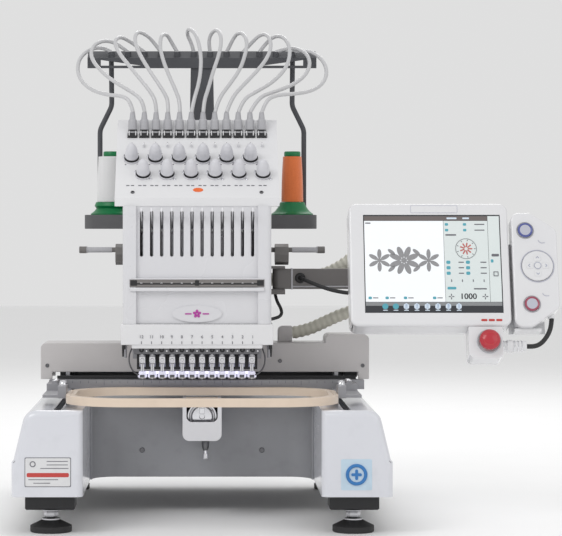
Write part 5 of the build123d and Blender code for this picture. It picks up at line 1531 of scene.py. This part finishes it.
# ---------------------------------------------------------------- thread stand
@dataclass
class ThreadStand:
    """The tray with its pins and cones, and the tree above it."""

    bench: Bench
    cone_place: Span = (143.0, 175.0)
    tray_top: float = 439.0
    cushion: float = 17.0

    def build(self) -> None:
        """Carry the stand over, and wind the cones."""
        carry = self.bench.carry
        carry("spool_tray", TRAY, bevel=0.8)
        carry("spool_pins", STEEL)
        carry("tree_supports", TREE, bevel=0.5)
        carry("tree_plate", TREE, bevel=0.4)
        with self.bench.shape("tray_mat", RUBBER) as bm:
            plate(bm, rounded(354, 160, 11), 0.25, Matrix.Translation((-2, 215, self.tray_top)))
        self.cone("left", -1, WHITE_THREAD, (23.0, 21.0))
        self.cone("right", 1, ORANGE_THREAD, (17.5, 15.0))
        self.cushions()

    def cone(self, side: str, sign: int, thread: Finish, radii: Span) -> None:
        """One cone: its cushion, the green core with flange and cap, and the wound thread.

        Args:
            side: left or right.
            sign: -1 or 1 for that side.
            thread: the thread's finish.
            radii: the winding's radius at its foot and at its top.
        """
        stand = Matrix.Translation((sign * self.cone_place[0], self.cone_place[1], self.tray_top + 0.3))
        body = f"{side}_thread_cone"
        low, high = radii
        with self.bench.shape(f"{side}_cone_cushion", RUBBER, body) as bm:
            lathe(bm, [(4, 0), (29.6, 0), (30, 0.6), (30, 16.2), (29.4, 16.9), (4, 16.9), (4, 0)], stand,
                  48)
        with self.bench.shape(f"{side}_cone_core", GREEN, body, slot=self.bench.slots[body]) as bm:
            core = stand @ Matrix.Translation((0, 0, self.cushion))
            lathe(bm, [(4, 0), (32, 0), (33, 1), (33, 3.6), (31.5, 4.4), (27, 8), (24, 12), (low + 4, 16),
                       (low + 1.6, 21.8), (11, 22), (11, 94), (12.6, 94.4), (13, 95.4), (13, 100.4),
                       (11.8, 102), (6.6, 102), (4, 99), (4, 0)], core, 48)
        with self.bench.shape(f"{side}_cone_thread", thread, body, smooth=70, replaces=(body,)) as bm:
            rows = 40
            profile = [(11.3, 22.2)]
            for k in range(rows + 1):
                share = k / rows
                swell = 0.35 * (k % 2) + 0.5 * math.sin(math.pi * share)
                profile.append((low + (high - low) * share + swell - 0.4, 22.3 + 71.6 * share))
            profile += [(11.3, 94.1), (11.3, 22.2)]
            lathe(bm, profile, core, 48)

    def cushions(self) -> None:
        """Foam washers at the foot of each free pin."""
        with self.bench.shape("pin_cushions", BLACK) as bm:
            for y in (175, 255):
                for x in (29, 86, 143):
                    for side in SIDES:
                        if y < 200 and x > 100:
                            continue
                        lathe(bm, [(3.2, 0.3), (11, 0.3), (11.5, 1.4), (10, 3), (3.2, 3), (3.2, 0.3)],
                              Matrix.Translation((side * x, y, self.tray_top)), 28)


# ---------------------------------------------------------------- control panel and hand controller
PANEL_TILT = math.radians(18)
PANEL = Matrix.Translation((337, -60, 384)) @ Matrix((
    (1, 0, 0), (0, math.sin(PANEL_TILT), -math.cos(PANEL_TILT)),
    (0, math.cos(PANEL_TILT), math.sin(PANEL_TILT)))).to_4x4()


@dataclass
class ControlPanel:
    """The panel with its lit screen, its arm and the emergency stop."""

    bench: Bench
    screen_x: Span = (-97.0, 107.0)
    screen_v: Span = (-75.0, 77.0)
    face: float = -0.45
    back_out: float = -45.0
    slot: Span = (9.0, 85.6)
    stop: Span = (84.0, -118.0)
    divide: float = 22.0
    margin: float = 88.0

    def at(self, x: float, v: float, out: float = 0.0) -> Matrix:
        """A matrix on the panel: X across, Y up, Z out of its face."""
        return PANEL @ Matrix.Translation((x, v, out))

    def block(self, bm: bmesh.types.BMesh, x: Span, v: Span, out: float = 0.0, thick: float = 0.2) -> None:
        """Add a thin block on the lit screen."""
        low = self.face + out
        cuboid(bm, x, v, (low, low + thick), PANEL)

    def build(self) -> None:
        """Carry the housing over and draw the screen in relief."""
        carry = self.bench.carry
        carry("panel_housing", COVER, bevel=0.7)
        carry("panel_screen", SCREEN_DARK, bevel=0.2)
        carry("panel_arm", ARM, bevel=0.8)
        carry("emergency_stop", STOP_RED)
        self.trim()
        self.screen()
        self.motif()
        self.side_column()
        self.icons()
        self.back()

    def trim(self) -> None:
        """The recess above the screen, the stop's collar and the arm's fittings."""
        with self.bench.shape("panel_slot", KEY_FACE, "control_panel") as bm:
            plate(bm, rounded(70, 12, 1.2), 0.25, self.at(*self.slot))
        with self.bench.shape("panel_slot_lid", COVER, "control_panel") as bm:
            plate(bm, rounded(68.4, 10.4, 0.8), 0.5, self.at(*self.slot))
        with self.bench.shape("panel_marks", BAND_RED, "control_panel") as bm:
            for k in range(3):
                plate(bm, rounded(9, 3.4, 1.4), 0.3, self.at(78 + 11 * k, -86))
        with self.bench.shape("stop_collar", STUB, "control_panel") as bm:
            lathe(bm, [(15.8, -2), (18, -2), (18, 0.4), (17.3, 1.4), (15.8, 1.4), (15.8, -2)],
                  self.at(*self.stop), 44)
        with self.bench.shape("stop_ring", BAND_RED, "emergency_stop") as bm:
            hoop(bm, 9.5, 0.5, self.at(*self.stop, 15.2), steps=44)
        with self.bench.shape("arm_grommet", RUBBER, "panel_arm") as bm:
            lathe(bm, [(3.2, -1), (8, -1), (8, 1.4), (5.5, 3.6), (3.2, 3.6), (3.2, -1)],
                  pointing((150, 50, 361), (0, -1, 0)), 28)
        with self.bench.shape("arm_strip", STUB, "panel_arm", bevel=0.5) as bm:
            cuboid(bm, (136, 139), (48.6, 71), (343.4, 375.6))
            cuboid(bm, (139, 322), (48.8, 50.4), (347, 349))
        with self.bench.shape("connector_knurls", CHROME, "control_panel") as bm:
            for k in range(6):
                x = 107 + 5.4 * k
                washer(bm, (7.2, 8.7), (-0.8, 0.8), PANEL @ pointing((x, -120, -22), (1, 0, 0)))

    def screen(self) -> None:
        """The lit field, its middle and right columns, and the bars above and below."""
        x, v = self.screen_x, self.screen_v
        divide, margin = self.divide, self.margin
        with self.bench.shape("screen_field", FIELD, "control_panel", slot="screen_glass") as bm:
            self.block(bm, (x[0] + 1.5, divide), (v[0] + 17, v[1] - 9.5))
        with self.bench.shape("screen_columns", SCREEN_SIDE, "control_panel") as bm:
            self.block(bm, (divide + 0.5, margin), (v[0] + 17, v[1] - 9.5))
            self.block(bm, (margin + 0.5, x[1] - 1.5), (v[0] + 17, v[1] - 2))
        with self.bench.shape("screen_head", SCREEN_HEAD, "control_panel") as bm:
            self.block(bm, (x[0] + 1.5, margin), (v[1] - 9, v[1] - 2))
        with self.bench.shape("screen_foot", SCREEN_DARK, "control_panel") as bm:
            self.block(bm, (x[0] + 1.5, x[1] - 1.5), (v[0] + 1.5, v[0] + 11))
        with self.bench.shape("screen_band", SCREEN_GREY, "control_panel") as bm:
            self.block(bm, (x[0] + 1.5, x[1] - 1.5), (v[0] + 11, v[0] + 16.5))
            self.block(bm, (divide, divide + 0.6), (v[0] + 17, v[1] - 9.5), 0.1)

    def motif(self) -> None:
        """A row of stitched flowers in the screen's field, with leaves between them."""
        with self.bench.shape("screen_motif", SCREEN_STITCH, "control_panel") as bm:
            for across, petals, reach in ((-74, 6, 10), (-37.5, 8, 13.5), (-1, 6, 10)):
                middle = self.at(across, 6, self.face + 0.25)
                for k in range(petals):
                    petal = middle @ Matrix.Rotation(math.tau * (k + 0.5) / petals, 4, "Z")
                    plate(bm, oval(reach + 5, reach * 0.62, 24), 0.15,
                          petal @ Matrix.Translation((reach, 0, 0)))
                plate(bm, oval(reach * 0.62, reach * 0.62, 24), 0.3, middle)
            for across in (-56, -19):
                for side in SIDES:
                    leaf = self.at(across, 6 - side * 13, self.face + 0.25) @ Matrix.Rotation(side * 0.7,
                                                                                              4, "Z")
                    plate(bm, oval(13, 5.5, 24), 0.15, leaf)

    def dot(self, bm: bmesh.types.BMesh, x: float, v: float, width: float, height: float) -> None:
        """Add one small rounded mark on the screen."""
        plate(bm, rounded(width, height, 0.3 * min(width, height), 2), 0.2, self.at(x, v, self.face + 0.2))

    def side_column(self) -> None:
        """The readouts beside the field and the marks down the right edge."""
        pale, teal, rose, ink = fresh(), fresh(), fresh(), fresh()
        for row in (62, 53):
            self.dot(teal, 27, row, 5, 4)
            self.dot(teal, 54, row, 5, 4)
            self.dot(ink, 76, row, 15, 1.6)
        self.dot(ink, 33, 45.5, 16, 2.4)
        for row in (3, -5.5, -14):
            self.dot(teal, 28, row, 6, 5)
            self.dot(teal, 57, row, 6, 5)
            self.dot(ink, 47, row, 8, 1.6)
            self.dot(ink, 80, row, 9, 1.6)
        for k in range(4):
            self.dot(ink, 32 + 16 * k, -25.5, 1.4, 4)
        self.dot(teal, 32, -37, 13, 4)
        self.dot(ink, 74, -38, 19, 2)
        self.dot(ink, 98, 14, 11, 4)
        self.dot(teal, 93, 5, 4, 5)
        for x in (-89, -64, -37, 6):
            self.dot(teal, x, -52, 5, 4)
            self.dot(ink, x + 8, -52, 8, 1.4)
        self.dot(ink, -90, 64, 8, 1.8)
        wheel = self.at(55, 24, self.face + 0.3)
        hoop(pale, 15.5, 0.5, wheel)
        for k in range(9):
            spoke = wheel @ Matrix.Rotation(math.tau * k / 9, 4, "Z")
            plate(rose, rounded(6, 2, 0.9, 2), 0.2, spoke @ Matrix.Translation((6.5, 0, 0)))
            plate(ink, rounded(2.4, 1, 0.4, 2), 0.2, spoke @ Matrix.Translation((13, 0, 0)))
        hoop(rose, 3.2, 0.5, wheel, steps=20)
        hoop(ink, 4.4, 0.8, self.at(98, -15, self.face + 0.3) @ Matrix.Rotation(math.pi / 4, 4, "Z"),
             steps=4)
        for x, way in ((31, 1), (81, -1)):
            for k in range(4):
                turn = self.at(x, -50, self.face + 0.25) @ Matrix.Rotation(math.pi / 2 * k, 4, "Z")
                plate(ink, rounded(3.4, 1.4, 0.5, 2), 0.2, turn @ Matrix.Translation((way * 2.6, 0, 0)))
        for name, bm, finish in (("screen_wheel_rim", pale, SCREEN_GREY),
                                 ("screen_keys", teal, SCREEN_BLUE),
                                 ("screen_wheel", rose, SCREEN_ROSE), ("screen_readouts", ink, INK)):
            self.bench.piece(name, bm, finish, "control_panel")
        with self.bench.shape("screen_speed", SCREEN_DARK, "control_panel", smooth=20) as bm:
            for nudge in (-0.25, 0.25):
                lettering(bm, "1000", 12.5, self.at(56 + nudge, -50, self.face + 0.35))

    def icons(self) -> None:
        """Eight plain keys along the screen's foot and small marks along its head."""
        lit, plain = fresh(), fresh()
        left, low = self.screen_x[0], self.screen_v[0]
        for k in range(8):
            x = left + 30 + 15.5 * k
            if k < 2:
                plate(lit, oval(9, 9, 20), 0.2, self.at(x, low + 10, self.face + 0.3))
            else:
                plate(plain, rounded(8, 7.4, 2.4, 3), 0.2, self.at(x, low + 10, self.face + 0.3))
                plate(plain, rounded(3.2, 9.6, 1.2, 3), 0.2, self.at(x, low + 10, self.face + 0.3))
            plate(plain, rounded(7, 1.2, 0.5, 2), 0.2, self.at(x, low + 4, self.face + 0.3))
        for x, width in ((35, 15), (56, 10)):
            plate(plain, rounded(width, 2.6, 0.8, 2), 0.2,
                  self.at(x, self.screen_v[1] - 5.5, self.face + 0.3))
        self.bench.piece("screen_icons", plain, SCREEN_PALE, "control_panel")
        self.bench.piece("screen_lit_icons", lit, SCREEN_BLUE, "control_panel")

    def back(self) -> None:
        """Vents and screws on the panel's back."""
        with self.bench.shape("panel_vents", BLACK, "control_panel") as bm:
            for k in range(7):
                plate(bm, rounded(80, 3, 1.5), 0.4,
                      self.at(10, 40 + 6 * k, self.back_out) @ Matrix.Rotation(math.pi, 4, "Y"))
        with self.bench.shape("panel_screws", BOLT, "control_panel") as bm:
            for x in (-108, 108):
                for v in (-84, 84):
                    turn = self.at(x, v, self.back_out)
                    Stand.screw(bm, tuple(turn.translation), tuple(-turn.to_3x3().col[2]), 3)


@dataclass
class HandController:
    """The hand controller beside the panel."""

    bench: Bench
    face: float = -2.0
    keys: dict[str, tuple[float, float, float]] = field(default_factory=lambda: {
        "start_button": (144.0, 53.0, 11.0), "stop_button": (149.5, -61.0, 11.0),
        "jog_pad": (160.0, -2.5, 23.0)})

    def at(self, x: float, v: float, out: float = 0.0) -> Matrix:
        """A matrix on the controller's face."""
        return PANEL @ Matrix.Translation((x, v, self.face + out))

    def build(self) -> None:
        """Carry the shell and keys over, and add rings, arrows and ridges."""
        carry = self.bench.carry
        carry("pendant_housing", COVER, bevel=0.6)
        carry("start_button", KEY_FACE, bevel=0.3)
        carry("stop_button", KEY_FACE, bevel=0.3)
        carry("jog_pad", COVER, bevel=0.3)
        for name, finish in (("start_button", KEY_BLUE), ("stop_button", KEY_ROSE)):
            x, v, radius = self.keys[name]
            with self.bench.shape(f"{name}_ring", finish, name) as bm:
                lathe(bm, [(radius - 3.0, 3.2), (radius - 1.2, 3.8), (radius + 0.1, 2.6),
                           (radius + 0.1, 1.9),
                           (radius - 3.0, 1.9), (radius - 3.0, 3.2)], self.at(x, v), 44)
            with self.bench.shape(f"{name}_surround", STUB, "pendant") as bm:
                hoop(bm, radius + 1.6, 0.6, self.at(x, v, 0.1), steps=44)
        self.arrows()
        self.crescents()

    def arrows(self) -> None:
        """Four square keys round a middle one on the jog pad, in low relief."""
        x, v, radius = self.keys["jog_pad"]
        with self.bench.shape("jog_keys", COVER, "jog_pad", bevel=0.25) as bm:
            for k in range(4):
                turn = self.at(x, v, 3.1) @ Matrix.Rotation(k * math.pi / 2, 4,
                                                            "Z") @ Matrix.Translation((11.6, 0, 0))
                plate(bm, rounded(9.4, 9.4, 1.4, 3), 0.7, turn)
            plate(bm, oval(9.6, 9.6, 32), 0.8, self.at(x, v, 3.1))
        with self.bench.shape("jog_arrows", KEY_LINE, "jog_pad") as bm:
            for k in range(4):
                turn = self.at(x, v, 3.85) @ Matrix.Rotation(k * math.pi / 2, 4,
                                                             "Z") @ Matrix.Translation((12.6, 0, 0))
                for side in SIDES:
                    plate(bm, rounded(3.6, 0.8, 0.3, 2), 0.15,
                          turn @ Matrix.Translation((0, side * 1.1, 0)) @ Matrix.Rotation(-side * 0.75, 4,
                                                                                          "Z"))
            hoop(bm, 4.9, 0.3, self.at(x, v, 3.9), steps=32)
        with self.bench.shape("jog_surround", KEY_FACE, "pendant") as bm:
            hoop(bm, radius + 1.5, 0.8, self.at(x, v, 0.1), steps=60)

    def crescents(self) -> None:
        """A small curved ridge above and another below the jog pad."""
        with self.bench.shape("crescent_ridges", KEY_FACE, "pendant") as bm:
            for x, v in ((169, 40), (172, -42)):
                hoop(bm, 6.5, 0.6, self.at(x, v, 0.2) @ Matrix.Rotation(math.radians(200), 4, "Z"),
                     math.radians(100), 20)


def main() -> None:
    """Load the frame, build every sub-assembly in order and report."""
    logging.basicConfig(level=logging.INFO, format="%(name)s %(message)s")
    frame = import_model()
    layout = layout_of_frame()
    bench = Bench(layout, frame)
    Studio().build(layout)
    FlexibleLines(bench).build()
    for assembly in (Stand, HookArm, HeadAndColumn, SewingField, NeedleCase, TensionBox, ThreadStand,
                     ControlPanel, HandController):
        assembly(bench).build()
        LOG.info("%s built", assembly.__name__)
    LOG.info("%d pieces", bench.count)


if __name__ == "__main__":
    main()
